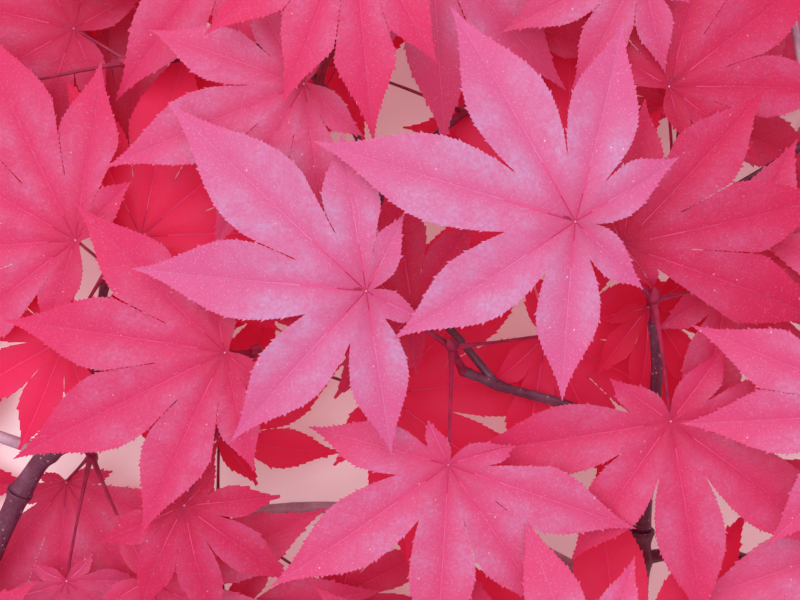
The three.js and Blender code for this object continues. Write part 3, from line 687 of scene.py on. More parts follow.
def free_height(cells, wanted, low, high):
    """The free height nearest to the wanted one for a leaf's foot, or None."""
    for step in range(math.floor(high - low) + 1):
        for z in [wanted] if step == 0 else [wanted + step, wanted - step]:
            if low <= z <= high and not what_fills(cells[0], cells[1], z + cells[2]).any():
                return z
    return None


def grow_leaf(spray, random, lying, least, tries=TRIES, sizes=LEAF_SIZE, spans=STALK_SPAN):
    """The best of many trial leaves for a spray, or None."""
    mark = FIRST_STALK + list(SPRAYS).index(spray)
    node = SPRAYS[spray][1]
    best, best_value = None, None
    for _ in range(tries):
        leaf = trial_leaf(spray, random, lying, sizes, spans)
        outline = leaf_outline(leaf)
        floor_height = LEAF_THICKNESS / 2 - leaf_rise(leaf, outline[:, 0], outline[:, 1]).min()
        wanted = floor_height if lying else max(floor_height, node[2] + leaf["rise"])
        leaf["at"][2] = wanted
        cells = leaf_cells(leaf, outline)
        value = fresh_worth(leaf, cells)
        if value < least or (best and value <= best_value):
            continue
        climb = STALK_CLIMB * leaf["span"] + BUD_RADIUS
        low = max(floor_height, node[2] - climb)
        high = floor_height if lying else min(GROWN_ROOF, node[2] + climb)
        height = free_height(cells, wanted, low, high) if high >= low else None
        if height is None:
            continue
        leaf["at"][2] = height
        if stalk_is_clear(stalk_points(node, leaf), mark):
            best, best_value = leaf, value
    return best


# %% Fill the room with the wood and the leaves on top, then grow the rest
def add_leaf(leaf):
    """Keeps a leaf, and fills the room round it and its stalk."""
    leaves.append(leaf)
    place_leaf(leaf)
    mark = FIRST_STALK + list(SPRAYS).index(leaf["spray"])
    place_limb(stalk_points(SPRAYS[leaf["spray"]][1], leaf), STALK_RADII, STALK_CHECKS, mark)


TOP_LEAF_COLUMNS = ["spray", "at", "heading", "lobes", "splay", "tint"]
TOP_LEAF_FORM = {"stations": TOP_LEAF_STATIONS, "slope": [0, 0], "sag": TOP_LEAF_SAG}
leaves = []
for limb, (_, _, radii) in BOUGHS.items():
    place_limb(limb_points[limb], radii, LIMB_CHECKS, SOLID)
for number, (foot, node, _, _) in enumerate(SPRAYS.values()):
    place_limb([on_axis(*foot), np.array(node, float)], SPRAY_STEM_RADII, STEM_CHECKS, FIRST_STALK + number)
for row in TOP_LEAVES:
    top_leaf = dict(zip(TOP_LEAF_COLUMNS, row))
    add_leaf({**top_leaf, **TOP_LEAF_FORM, "longest": max(top_leaf["lobes"])})

random = seeded_numbers(SEED)
for spray, (_, _, grown, low) in SPRAYS.items():
    for _ in range(grown):
        first = all(leaf["spray"] != spray for leaf in leaves)
        leaf = grow_leaf(spray, random, first and low, LEAST_WORTH_OF_FIRST if first else LEAST_WORTH)
        if leaf:
            add_leaf(leaf)
print("the branch has", len(leaves), "leaves so far, the same as the solids")

# %% [markdown]
# ## Finer leaves
#
# A real branch carries more leaves than its plain solids. The same rule goes on with smaller leaves on the
# same nodes, wherever the ones before left floor showing within the crown's reach. Two stretches of bough
# that the picture shows bare are kept so. A leaf that would reach past the solids is not kept.

# %% Grow the finer leaves
FINE_LEAF_SIZE = [26, 46]
FINE_STALK_SPAN = [9, 40]
FINE_LEAST_WORTH = 50
FINE_TRIES = 220
FINE_LEAVES_OF_A_SPRAY = 3
# Where the boughs show between the leaves, each a place and a radius.
TWIGS_LEFT_BARE = [
    [53.6, -49.5, 3], [52.7, -56.3, 3], [51.8, -63, 3],
    [75.4, -58, 3], [81, -59.2, 3], [86.6, -60.8, 3],
]  # fmt: skip
BRANCH_LOW = np.array(cad_box[0]) / MM + BOX_CENTRE
BRANCH_HIGH = np.array(cad_box[1]) / MM + BOX_CENTRE


def within_reach(leaf):
    """Whether all of a leaf lies within the reach of the solids."""
    u, v = leaf_outline(leaf).T
    places = on_leaf(leaf, u, v)
    return (places > BRANCH_LOW).all() and (places < BRANCH_HIGH).all()


keep_open(TWIGS_LEFT_BARE)
for _ in range(FINE_LEAVES_OF_A_SPRAY):
    for spray in SPRAYS:
        leaf = grow_leaf(spray, random, False, FINE_LEAST_WORTH, FINE_TRIES, FINE_LEAF_SIZE, FINE_STALK_SPAN)
        if leaf and within_reach(leaf):
            add_leaf(leaf | {"fine": True})
face = (abs(cell_x) < FACE_REACH[0]) & (abs(cell_y) < FACE_REACH[1])
print(len(leaves), "leaves in all cover", round(float(covered[face].mean()), 3), "of the picture")

# %% [markdown]
# ## The form of a blade
#
# A blade is a thin closed sheet. It is built lobe by lobe: rows of places run from the midrib out to the
# margin, straight up to the sinus first and then along the free edge. Each lobe is folded a little along
# its midrib, puckered between its side veins, and drooped, twisted and bent by a few seeded numbers of its
# own. A saw tooth stands on the margin between each two rows, and every fourth is larger, as it is where a
# side vein ends. Arrays are the right tool here, because one rule makes thousands of small places.

# %% Sizes of a blade's fine form
BLADE_THICKNESS = 0.25
ROWS_TO_SINUS = 6
FOLD = 0.2
PUCKER = 0.13
PUCKER_SLANT = 0.9
VEIN_SPACING = 4.2
TIP_DROOP = [-2.2, 0.8]
TIP_BEND = [-2.2, 2.2]
TIP_BEND_ON_TOP = [-1.0, 1.0]
LOBE_TWIST = [-0.18, 0.18]
BARE_TIP = [0.7, 1.8]
PUCKER_FULL_AT = 2
TOOTH_HEIGHT = [0.28, 0.62]
TOOTH_CHANGE = [0.7, 1.2]
TOOTH_LEAN = 0.85
TOOTH_SWEEP = 0.5
TEETH_GROW_BY = 0.08
TEETH_FADE_BY = 0.15
LEAST_TEETH = 6
TEETH_TO_A_VEIN = 4
SAME_PLACE = 0.002
SMALL_TEETH = {"spacing": 1.05, "columns": 3}
PLAIN_TEETH = {"spacing": 1.6, "columns": 2}
FEW_TEETH = {"spacing": 2.3, "columns": 2}
detail = np.random.default_rng(SEED)


# %% Half a lobe, from its midrib to its margin
def lobe_lift(place, share, shape):
    """How far a place of a lobe stands over the leaf's plain surface."""
    along, across = place[..., 0], abs(place[..., 1])
    wave = np.sin(2 * math.pi * (along - PUCKER_SLANT * across) / VEIN_SPACING)
    pucker = PUCKER * np.clip(across / PUCKER_FULL_AT, 0, 1) * wave * (1 - share)
    return FOLD * across + pucker + shape["droop"] * share**2 + shape["twist"] * place[..., 1] * share


def lobe_half(leaf, n, side, form, shape):
    """Places, lifts and veinward places of half a lobe, with its triangles."""
    along, across, room = (edge[n, (side + 1) // 2] for edge in free_edges(leaf))
    length = leaf["lobes"][n]
    angle = lobe_angles(leaf)[n]
    teeth = max(LEAST_TEETH, round((length - along) / form["spacing"]))
    inner = np.arange(ROWS_TO_SINUS) / ROWS_TO_SINUS
    share = np.arange(teeth + 1) / teeth
    out = half_width(share, across, widest_of(leaf)[n])
    out[1:] = np.minimum(out, (along + (length - along) * share) * room)[1:]
    foot = np.array([0.0, 0.0])
    if not 0 <= n + side < len(leaf["lobes"]):
        foot = turned(-FOOT_BEHIND * leaf["lobes"][MIDDLE_LOBE], 0.0, -angle)
    run = np.concatenate([along * inner, along + (length - along) * share])
    axis = np.column_stack([run, 0 * run])
    edge = np.column_stack([run, side * np.concatenate([across * inner, out])])
    edge[:ROWS_TO_SINUS] = foot * (1 - inner[:, None]) + [along, side * across] * inner[:, None]
    columns = np.arange(form["columns"] + 1)[None, :, None] / form["columns"]
    grid = axis[:, None] + (edge - axis)[:, None] * columns
    shares = np.concatenate([0 * inner, share])[:, None] + 0 * grid[..., 0]

    size = np.where(np.arange(teeth) % TEETH_TO_A_VEIN == 0, *TOOTH_HEIGHT[::-1])
    size = size * detail.uniform(*TOOTH_CHANGE, teeth) * np.clip(share[:-1] / TEETH_GROW_BY, 0, 1)
    size = size * np.clip((1 - share[:-1]) / TEETH_FADE_BY, 0, 1)
    free = edge[ROWS_TO_SINUS:]
    tips = free[:-1] + (free[1:] - free[:-1]) * TOOTH_LEAN
    tips = tips + np.column_stack([TOOTH_SWEEP * size, side * size])
    tip_shares = share[:-1] + TOOTH_LEAN / teeth

    place = np.vstack([grid.reshape(-1, 2), tips])
    shares = np.concatenate([shares.ravel(), tip_shares])
    lift = lobe_lift(place, shares, shape)
    bent = place + np.column_stack([0 * shares, shape["bend"] * shares**2])

    number = np.arange(grid[..., 0].size).reshape(grid.shape[:2])
    a, b, c, d = number[:-1, :-1], number[1:, :-1], number[1:, 1:], number[:-1, 1:]
    tip_number = number.size + np.arange(teeth)
    rim = number[ROWS_TO_SINUS:, -1]
    triangles = [np.stack([a, b, c], -1).reshape(-1, 3), np.stack([a, c, d], -1).reshape(-1, 3)]
    triangles = np.vstack([*triangles, np.stack([rim[:-1], rim[1:], tip_number], -1)])
    if side < 0:
        triangles = triangles[:, ::-1]
    spots = np.column_stack([abs(place), shares * shape["bare"]])
    return turned(bent[:, 0], bent[:, 1], angle), lift, spots, triangles


# %% A whole blade, closed with an underside and a rim
UPPER_SLOT, UNDER_SLOT, FIRST_RIB_SLOT, KNOB_SLOT = 0, 1, 2, 5


def joined(parts):
    """Groups of places and triangles as one, with the triangles' numbers moved on."""
    counts = np.cumsum([0] + [len(part[0]) for part in parts[:-1]])
    columns = [np.concatenate([part[k] for part in parts]) for k in range(len(parts[0]) - 1)]
    return columns + [np.vstack([part[-1] + count for part, count in zip(parts, counts)])]


def merged(uv, lift, place, triangles):
    """The same blade, with places that fall together made one."""
    _, first, same = np.unique(np.round(uv / SAME_PLACE), axis=0, return_index=True, return_inverse=True)
    triangles = same.reshape(-1)[triangles]
    a, b, c = triangles.T
    return uv[first], lift[first], place[first], triangles[(a != b) & (b != c) & (c != a)]


def closed_sheet(top, triangles, thickness):
    """A sheet's top, with an underside below it and a rim between them. The first faces are the top's."""
    count = len(top)
    below = top - [0.0, 0.0, thickness]
    sides = np.vstack([triangles[:, [0, 1]], triangles[:, [1, 2]], triangles[:, [2, 0]]])
    forward = sides[:, 0] * count + sides[:, 1]
    backward = sides[:, 1] * count + sides[:, 0]
    a, b = sides[~np.isin(forward, backward)].T
    rim = np.vstack([np.stack([b, a, a + count], -1), np.stack([b, a + count, b + count], -1)])
    return np.vstack([top, below]), np.vstack([triangles, triangles[:, ::-1] + count, rim])


def lobe_shapes(on_top):
    """The seeded droop, twist and bend of each lobe of a leaf, and how much of its tip is bare of bloom and
    painted sheen.
    """
    bend = TIP_BEND_ON_TOP if on_top else TIP_BEND
    ranges = {"droop": TIP_DROOP, "twist": LOBE_TWIST, "bend": bend, "bare": BARE_TIP}
    return [{name: detail.uniform(*ends) for name, ends in ranges.items()} for _ in LOBE_SHARES]


def blade(leaf, form, shapes):
    """A leaf's blade: its places, where each lies on its lobe, its triangles and their slots."""
    halves = [lobe_half(leaf, n, side, form, shapes[n]) for n in range(len(shapes)) for side in (-1, 1)]
    uv, lift, place, triangles = merged(*joined(halves))
    top = on_leaf(leaf, uv[:, 0], uv[:, 1], lift + BLADE_THICKNESS / 2)
    points, faces = closed_sheet(top, triangles, BLADE_THICKNESS)
    slots = np.full(len(faces), UNDER_SLOT)
    slots[: len(triangles)] = UPPER_SLOT
    return points, np.vstack([place, place]), slots, faces


# %% [markdown]
# ## Midribs
#
# A midrib stands a little proud of its lobe. It is dark red where it leaves the stalk, red after that, and
# further out a pink paler than its blade's own red, paler the more bloom and painted sheen the blade has, so
# that there it is partly a painted highlight. That draws the star on each leaf. It is a narrow ridge of
# three sides that follows the blade's own surface, so it lies on every fold and droop. The seven meet at a
# small knob, painted pale as a highlight.

# %% A ridge along each lobe
RIB_HALF_WIDTHS = [0.2, 0.08]
RIB_HEIGHTS = [0.16, 0.06]
RIB_SUNK = 0.06
RIB_TURNS_RED = 0.1
RIB_TURNS_PINK = 0.26
RIB_ENDS = [0.3, 0.97]
LEAST_RIB_ROWS = 8
KNOB_RADIUS = 0.3
KNOB_ROWS = 3
KNOB_SIDES = 6


def ring_faces(number):
    """Two triangles for each four places between one ring of numbered places and the next."""
    here, there = number, np.roll(number, -1, axis=1)
    first = np.stack([here[:-1], there[1:], here[1:]], -1).reshape(-1, 3)
    second = np.stack([here[:-1], there[:-1], there[1:]], -1).reshape(-1, 3)
    return np.vstack([first, second])


def midrib(leaf, n, form, shape):
    """A lobe's midrib, as a ridge of three sides, with the slots of its dark, red and pink stretches."""
    length, angle = leaf["lobes"][n], lobe_angles(leaf)[n]
    start = free_edges(leaf)[0][n].mean()
    rows = max(LEAST_RIB_ROWS, round(length / (2 * form["spacing"])))
    run = RIB_ENDS[0] + (RIB_ENDS[1] * length - RIB_ENDS[0]) * np.arange(rows + 1) / rows
    part = run / length
    share = np.clip((run - start) / (length - start), 0, 1)
    half = np.interp(part, [0, 1], RIB_HALF_WIDTHS)
    sides = [np.column_stack([run, side * half]) for side in (-1, 0, 1)]
    lifts = [lobe_lift(place, share, shape) - RIB_SUNK for place in sides]
    lifts[1] = lifts[1] + RIB_SUNK + np.interp(part, [0, 1], RIB_HEIGHTS)
    bend = np.column_stack([0 * run, shape["bend"] * share**2])
    uv = np.stack([turned(*(place + bend).T, angle) for place in sides], axis=1).reshape(-1, 2)
    lift = np.stack(lifts, axis=1).ravel()
    points = on_leaf(leaf, uv[:, 0], uv[:, 1], lift + BLADE_THICKNESS / 2)
    number = np.arange(3 * (rows + 1)).reshape(-1, 3)
    faces = np.vstack([ring_faces(number)[:, ::-1], [number[0], number[-1][::-1]]])
    slots = FIRST_RIB_SLOT + np.digitize(part[faces.min(axis=1) // 3], [RIB_TURNS_RED, RIB_TURNS_PINK])
    place = np.stack([np.stack([run, 0 * run, share], -1)] * 3, axis=1).reshape(-1, 3)
    return points, place, slots, faces


def knob(leaf):
    """The small knob where the ribs of a leaf meet, painted pale as a highlight: a low dome over its foot.
    """
    turn = 2 * math.pi * np.arange(KNOB_SIDES) / KNOB_SIDES
    tilt = math.pi / 2 * np.arange(KNOB_ROWS)[:, None] / KNOB_ROWS
    u, v = (KNOB_RADIUS * (np.cos(tilt) * wave(turn)).ravel() for wave in (np.cos, np.sin))
    w = (KNOB_RADIUS * np.sin(tilt) + 0 * turn).ravel()
    points = np.vstack([on_leaf(leaf, u, v, w), on_leaf(leaf, np.zeros(1), np.zeros(1), KNOB_RADIUS)])
    number = np.arange(KNOB_ROWS * KNOB_SIDES).reshape(KNOB_ROWS, KNOB_SIDES)
    top = np.stack([number[-1], np.roll(number[-1], -1), np.full(KNOB_SIDES, number.size)], -1)
    under = np.array([[0, k + 1, k] for k in range(1, KNOB_SIDES - 1)])
    faces = np.vstack([ring_faces(number), top, under])
    return points, np.zeros((len(points), 3)), np.full(len(faces), KNOB_SLOT), faces


# %% [markdown]
# ## Finishes of the leaves
#
# The upper side of an autumn-red leaf is satin, with a waxy bloom. Where the sky lies on it, it looks mauve:
# partly the wax, and partly the sky's reflection, which is painted into the colour as a sheen, strongest on
# the leaves on top. Bloom and painted sheen fade out along the midrib and towards the tips, and they are
# uneven, with mottling about a millimetre across over broader clouds. A blade is also thin enough to let
# light through: that is what makes the leaves in the shade of others glow red instead of going grey. So the
# skin is a glossy shader mixed with a translucent one.

# %% Leaf colours: skin, bloom and painted sheen, foot, how much bloom and sheen, and how much light comes through
TINTS = {
    "mauve": ("#c65c92", "#b890bc", "#b23062", 1.0, 0.3),
    "pink": ("#cb4a80", "#c081b0", "#b82558", 0.9, 0.35),
    "rose": ("#cb3870", "#c278a8", "#b11f49", 0.7, 0.4),
    "warm": ("#bf2c62", "#b66698", "#a21641", 0.65, 0.45),
    "crimson": ("#ea3c7a", "#d86ca4", "#c4265a", 0.35, 0.62),
    "ruby": ("#de326a", "#d06490", "#b01e4a", 0.3, 0.62),
}
UNDERSIDE = ("#d84a74", "#e07c9a")
DARK_RIB = ("#b01c4c", "#c02c5c")
RED_RIB = ("#cc3c70", "#d85084")
# The knob's pale colours are a painted highlight.
KNOB_HIGHLIGHT_COLOURS = ("#c87888", "#dca4b0")
THROUGH = "#ff3a72"
SHARE_THROUGH_UNDERSIDE = 0.5
RIB_PALER = 0.09
RIB_LOOKS = {"Roughness": 0.4, "Specular IOR Level": 0.3}
print(len(TINTS), "tints for the upper sides of the leaves")

# %% The marks on a leaf: how large, where each starts and is full, and how strong it gets
# The wax's own grains are far too fine to show, so its specks are drawn as coarse as they need to be.
MOTTLE_MM = 0.9
CLOUD_MM = 7.0
SPECK_MM = 0.4
DUST_MM = 4.2
# The rib, the vein and the foot are told in the lobe's millimetres or spacings, the tip as a share of its
# length, and the others in the steps of their pattern.
MARKS = {
    "off_rib": {"From Min": 0.2, "From Max": 4.0},
    "off_tip": {"From Min": 0.95, "From Max": 0.45},
    "cloud": {"From Min": 0.38, "From Max": 0.6, "To Min": 0.4},
    "mottle": {"From Min": 0.38, "From Max": 0.62, "To Min": 0.5},
    "speck": {"From Min": 0.6, "From Max": 0.72},
    "dust": {"From Min": 0.055, "From Max": 0.03},
    "vein": {"From Min": 0.14, "From Max": 0.0},
    "foot": {"From Min": 12.0, "From Max": 0.5},
    "spot": {"From Min": 0.35, "From Max": 0.65},
}
SPECKS = ("#e9b4d2", 0.3)
DUST = ("#fbe6ee", 0.7)
VEIN_STRENGTH = 0.1
FOOT_STRENGTH = 0.6


def per_metre(size_mm):
    """A pattern's scale that gives spots of a size in millimetres, on coordinates in metres."""
    return 1 / (size_mm * MM)


def paler(hex_colour, share):
    """A colour moved by a share of the way to white."""
    parts = [int(hex_colour[k : k + 2], 16) for k in (1, 3, 5)]
    return "#" + "".join(f"{round(part + (255 - part) * share):02x}" for part in parts)


def finish_skin(tree, looks, through=0.0):
    """Ends a material with a skin of these looks, which may also let a share of the light through."""
    surface = add(tree, "BsdfPrincipled", looks)
    if through:
        glow = add(tree, "BsdfTranslucent", {"Color": linear(THROUGH)})
        surface = add(tree, "MixShader", {0: through, 1: surface, 2: glow})
    add(tree, "OutputMaterial", {"Surface": surface})


# %% The skins of a leaf
def blade_finish(name, main, sheen_and_bloom_colour, deep, sheened_and_bloomed, through):
    """A leaf's upper skin: satin in its own red, with a mottled waxy bloom and painted sky sheen, side veins
    and a deeper foot.
    """
    material, tree = new_material(name)
    place = add(tree, "TexCoord", take="Object")
    mottle = add(tree, "TexNoise", {"Vector": place, "Scale": per_metre(MOTTLE_MM), "Detail": 4.0})
    cloud = add(tree, "TexNoise", {"Vector": place, "Scale": per_metre(CLOUD_MM), "Detail": 3.0})
    speck = add(tree, "TexNoise", {"Vector": place, "Scale": per_metre(SPECK_MM), "Detail": 1.0})
    dust = add(tree, "TexVoronoi", {"Vector": place, "Scale": per_metre(DUST_MM)})
    spot = add(tree, "Attribute", take="Vector", attribute_name="lobe_place")
    along, across, share = (add(tree, "SeparateXYZ", {"Vector": spot}, take=axis) for axis in "XYZ")
    slant = add(tree, "Math", {0: across, 1: -PUCKER_SLANT, 2: along}, operation="MULTIPLY_ADD")
    phase = add(tree, "Math", {0: slant, 1: 2 / VEIN_SPACING}, operation="MULTIPLY")
    vein = add(tree, "Math", {0: phase, 1: 1.0}, operation="PINGPONG")

    found = {"off_rib": across, "off_tip": share, "cloud": cloud, "mottle": mottle, "foot": along}
    found.update({"speck": speck, "dust": dust, "vein": vein})
    shown = {mark: add(tree, "MapRange", {"Value": at, **MARKS[mark]}) for mark, at in found.items()}
    # The bloom's mauve is partly the wax and partly a painted sheen, the sky's reflection.
    sheen_and_bloom_mask = sheened_and_bloomed
    for mark in ("off_rib", "off_tip", "cloud", "mottle"):
        sheen_and_bloom_mask = add(tree, "Math", {0: sheen_and_bloom_mask, 1: shown[mark]}, operation="MULTIPLY")
    colour = linear(main)
    for seen, laid_over, strength in (
        (sheen_and_bloom_mask, sheen_and_bloom_colour, 1.0),
        (shown["speck"], SPECKS[0], SPECKS[1] * sheened_and_bloomed),
        (shown["dust"], DUST[0], DUST[1] * sheened_and_bloomed),
        (shown["vein"], deep, VEIN_STRENGTH),
        (shown["foot"], deep, FOOT_STRENGTH),
    ):
        part = add(tree, "Math", {0: seen, 1: strength}, operation="MULTIPLY")
        colour = add(tree, "Mix", {SHARE: part, UNDER: colour, OVER: linear(laid_over)}, **LAYERED)

    height = add(tree, "Math", {0: mottle, 1: shown["vein"]}, operation="SUBTRACT")
    normal = add(tree, "Bump", {"Height": height, "Strength": 0.3, "Distance": 0.1 * MM})
    looks = {"Base Color": colour, "Roughness": 0.5, "Specular IOR Level": 0.22, "Normal": normal}
    finish_skin(tree, looks, through)
    return material


def plain_skin(name, main, light, looks, spots_mm, through=0.0):
    """A skin of one colour that goes paler in soft spots."""
    material, tree = new_material(name)
    place = add(tree, "TexCoord", take="Object")
    spots = add(tree, "TexNoise", {"Vector": place, "Scale": per_metre(spots_mm), "Detail": 2.0})
    spread = add(tree, "MapRange", {"Value": spots, **MARKS["spot"]})
    colour = add(tree, "Mix", {SHARE: spread, UNDER: linear(main), OVER: linear(light)}, **LAYERED)
    finish_skin(tree, {"Base Color": colour, **looks}, through)
    return material


upper_sides = {tint: blade_finish(f"bloomed_{tint}_leaf_skin", *looks) for tint, looks in TINTS.items()}
# Under a leaf there is no bloom and no painted sheen, so it looks matt and a plain lighter red. The ribs
# and the knob are smoother than the blade, so they catch a thin line of light.
matt = {"Roughness": 0.75, "Specular IOR Level": 0.15}
underside = plain_skin("matt_leaf_underside", *UNDERSIDE, matt, CLOUD_MM, SHARE_THROUGH_UNDERSIDE)
dark_rib = plain_skin("dark_red_rib", *DARK_RIB, RIB_LOOKS, CLOUD_MM)
red_rib = plain_skin("red_rib", *RED_RIB, RIB_LOOKS, CLOUD_MM)
# Further out, a rib is paler than its blade in step with the blade's bloom and painted sheen, so on the
# leaves on top its pale is partly a painted highlight.
far_ribs = {}
for tint, (main, _, _, sheened_and_bloomed, _) in TINTS.items():
    shades = [paler(main, steps * RIB_PALER * sheened_and_bloomed) for steps in (1, 2)]
    far_ribs[tint] = plain_skin(tint + "_rib", *shades, RIB_LOOKS, CLOUD_MM)
# The knob's pale skin is a painted highlight.
knob_painted_highlight = plain_skin("painted_highlight_leaf_foot", *KNOB_HIGHLIGHT_COLOURS, RIB_LOOKS, MOTTLE_MM)
print(len(upper_sides), "upper skins and", len(far_ribs), "rib skins are ready")

# %% [markdown]
# ## The sprays
#
# The leaves of each spray are joined into one piece, which stands for that spray's solid. A tint is dealt
# to each leaf. The leaves on top have the one in their row. Those under them get saturated red tints with
# little bloom and painted sheen, which paint in the shade of the others, and those past the picture's edge
# have a mixture.

# %% Turn arrays into a piece, clear of the floor
SHARP_ANGLE = 50
EASED_BELOW = 1.5


def piece_from(name, points, place, slots, faces, materials):
    """One piece of many joined small bodies, at the place that the branch gives them."""
    mesh = bpy.data.meshes.new(name)
    mesh.from_pydata(((points - BOX_CENTRE) * MM).tolist(), [], faces.tolist())
    mesh.polygons.foreach_set("material_index", slots)
    lobe_place = mesh.attributes.new("lobe_place", "FLOAT_VECTOR", "POINT")
    lobe_place.data.foreach_set("vector", place.ravel())
    for material in materials:
        mesh.materials.append(material)
    mesh.shade_smooth()
    mesh.set_sharp_from_angle(angle=math.radians(SHARP_ANGLE))
    made = bpy.data.objects.new(name, mesh)
    bpy.context.collection.objects.link(made)
    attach(made, "root")
    return made


def off_the_floor(points):
    """The same places, with those that would come near the floor or under it eased to lie just above it."""
    eased = EASED_BELOW * np.exp(points[:, 2] / EASED_BELOW - 1)
    return np.column_stack([points[:, :2], np.where(points[:, 2] < EASED_BELOW, eased, points[:, 2])])


# %% Deal a tint to each leaf, and make the leaves of each spray
# The shaded tints are painted shade: saturated reds with little bloom and painted sheen.
SHADED_TINTS = ["crimson", "ruby", "rose", "crimson", "warm"]
SHADED_FINE_TINTS = ["crimson", "ruby"]
OPEN_TINTS = ["rose", "pink", "rose", "crimson", "warm"]
# Within the picture, a leaf lower than this is in the shade of others, and its tint paints that shade in.
SHADE_HEIGHT = 45


def leaf_tint(leaf, number):
    """The tint of a leaf: its own where its row gives one, and else dealt out by number, with a
    painted-shade tint where it lies in shade.
    """
    shaded = leaf["at"][2] < SHADE_HEIGHT and all(abs(leaf["at"][k]) < FACE_REACH[k] for k in (0, 1))
    dealt = (SHADED_FINE_TINTS if "fine" in leaf else SHADED_TINTS) if shaded else OPEN_TINTS
    return leaf.get("tint") or dealt[number % len(dealt)]


def leaf_parts(leaf):
    """The blade, the knob and the midribs of a leaf, with as many teeth as its size and place call for."""
    form = SMALL_TEETH if "tint" in leaf else FEW_TEETH if "fine" in leaf else PLAIN_TEETH
    shapes = lobe_shapes("tint" in leaf)
    parts = [blade(leaf, form, shapes), knob(leaf)]
    return parts + [midrib(leaf, n, form, shapes[n]) for n in range(len(shapes))]


leaf_pieces = {}
for order, spray in enumerate(SPRAYS):
    groups, materials = [], []
    for number, leaf in enumerate(one for one in leaves if one["spray"] == spray):
        tint = leaf_tint(leaf, number + order)
        skins = [upper_sides[tint], underside, dark_rib, red_rib, far_ribs[tint], knob_painted_highlight]
        materials += [skin for skin in skins if skin not in materials]
        used = np.array([materials.index(skin) for skin in skins])
        for points, place, slots, faces in leaf_parts(leaf):
            groups.append((points, place, used[slots], faces))
    points, place, faces = joined([(group[0], group[1], group[3]) for group in groups])
    points = off_the_floor(points)
    slots = np.concatenate([group[2] for group in groups])
    leaf_pieces[spray] = piece_from("detailed_" + spray, points, place, slots, faces, materials)
    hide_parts(spray)
total = sum(len(piece.data.polygons) for piece in leaf_pieces.values())
print(len(leaf_pieces), "sprays of leaves have", total, "faces")

# %% [markdown]
# ## Leaf stalks
#
# A leaf stalk is a thin glossy tube, dark red, a little under a millimetre thick. It widens where it clasps
# the twig and again under the blade. Each spray's stalks meet in a small pointed bud at its node, on a
# short stem of the same skin. All of them are made by one function that sweeps a ring of places along a
# curve, with a radius that follows a short list.

# %% Sweep thin tubes along their curves
STALK_SIDES = 7
STALK_ROWS = 13
STALK_TUBE_RADII = [0.9, 0.54, 0.42, 0.38, 0.38, 0.4, 0.44, 0.42, 0.3]
STALK_UNDER_BLADE = 0.5
STEM_SIDES = 8
STEM_ROWS = 6
STEM_TUBE_RADII = [1.25, 1.0, 0.92, 0.95, 1.15]
BUD_ROWS = 9
BUD_TUBE_RADII = [0.5, 1.25, 1.55, 1.3, 0.7, 0.12]
BUD_LENGTH = 4.6
BUD_SUNK = 1.4
NEARLY_UP = [0.12, 0.05, 1.0]
STALK_COLOURS = ("#7c0c34", "#981a42")
STALK_LOOKS = {"Roughness": 0.4, "Specular IOR Level": 0.25}
STALK_SPOTS_MM = 3.0


def across_curve(ahead, up):
    """Two directions across each place of a curve: one to its side, and one on its top."""
    ahead = ahead / np.linalg.norm(ahead, axis=1)[:, None]
    side = np.cross(up, ahead)
    side /= np.linalg.norm(side, axis=1)[:, None]
    return side, np.cross(ahead, side)


def tube(points, radii, sides, rows):
    """A closed tube along a curve."""
    shares = np.arange(rows + 1) / rows
    spots = along_curve(points, shares)
    side, top = across_curve(np.gradient(spots, axis=0), NEARLY_UP)
    radius = np.interp(shares, np.linspace(0, 1, len(radii)), radii)[:, None, None]
    turn = 2 * math.pi * np.arange(sides) / sides
    ring = side[:, None] * np.cos(turn)[None, :, None] + top[:, None] * np.sin(turn)[None, :, None]
    number = np.arange((rows + 1) * sides).reshape(rows + 1, sides)
    fan = np.array([[0, k, k + 1] for k in range(1, sides - 1)])
    faces = np.vstack([ring_faces(number), number[0][fan[:, ::-1]], number[-1][fan]])
    return (spots[:, None] + ring * radius).reshape(-1, 3), faces


tubes = []
for spray, (foot, node, _, _) in SPRAYS.items():
    root, node = on_axis(*foot), np.array(node, float)
    rise = (node - root) / np.linalg.norm(node - root)
    bud = [node - rise * BUD_SUNK, node + rise * BUD_LENGTH]
    tubes.append(tube([root, node], STEM_TUBE_RADII, STEM_SIDES, STEM_ROWS))
    tubes.append(tube(bud, BUD_TUBE_RADII, STEM_SIDES, BUD_ROWS))
    for leaf in leaves:
        if leaf["spray"] == spray:
            stalk = stalk_points(node, leaf)
            stalk[-2:, 2] -= STALK_UNDER_BLADE
            tubes.append(tube(stalk, STALK_TUBE_RADII, STALK_SIDES, STALK_ROWS))
points, faces = joined(tubes)
no_lobe = np.zeros((len(points), 3))
one_slot = np.zeros(len(faces), int)
stalk_skin = plain_skin("glossy_dark_red_stalk", *STALK_COLOURS, STALK_LOOKS, STALK_SPOTS_MM)
stalks = piece_from("leaf_stalks_and_buds", points, no_lobe, one_slot, faces, [stalk_skin])
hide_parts(*SPRAYS)
print(len(tubes), "stalks, stems and buds have", len(faces), "faces")

# %% [markdown]
# ## Bark
#
# The wood is young and smooth, purple-brown on most limbs and grey on a few that have weathered. It swells
# into a collar where a twig leaves it, and raised rings mark where each year's growth began. Small pale
# pores are scattered over it. Each limb starts as a plain cylinder of rings, which is then drawn out along
# its curve with those swellings, so that the form is real relief and not only paint.

# %% The shape of a limb's surface
SWELL_AT_FOOT = 0.28
SWELL_AT_TWIG = 0.3
SWELL_REACH = 3.2
RING_SPACING = 31.0
RING_WIDTH = 0.55
RING_HEIGHT = 0.14
RELIEF = 0.05
RELIEF_WAVES = [(3, 0.11), (5, -0.3)]
LIMB_ROW_LENGTH = 1.1
LEAST_LIMB_ROWS = 4
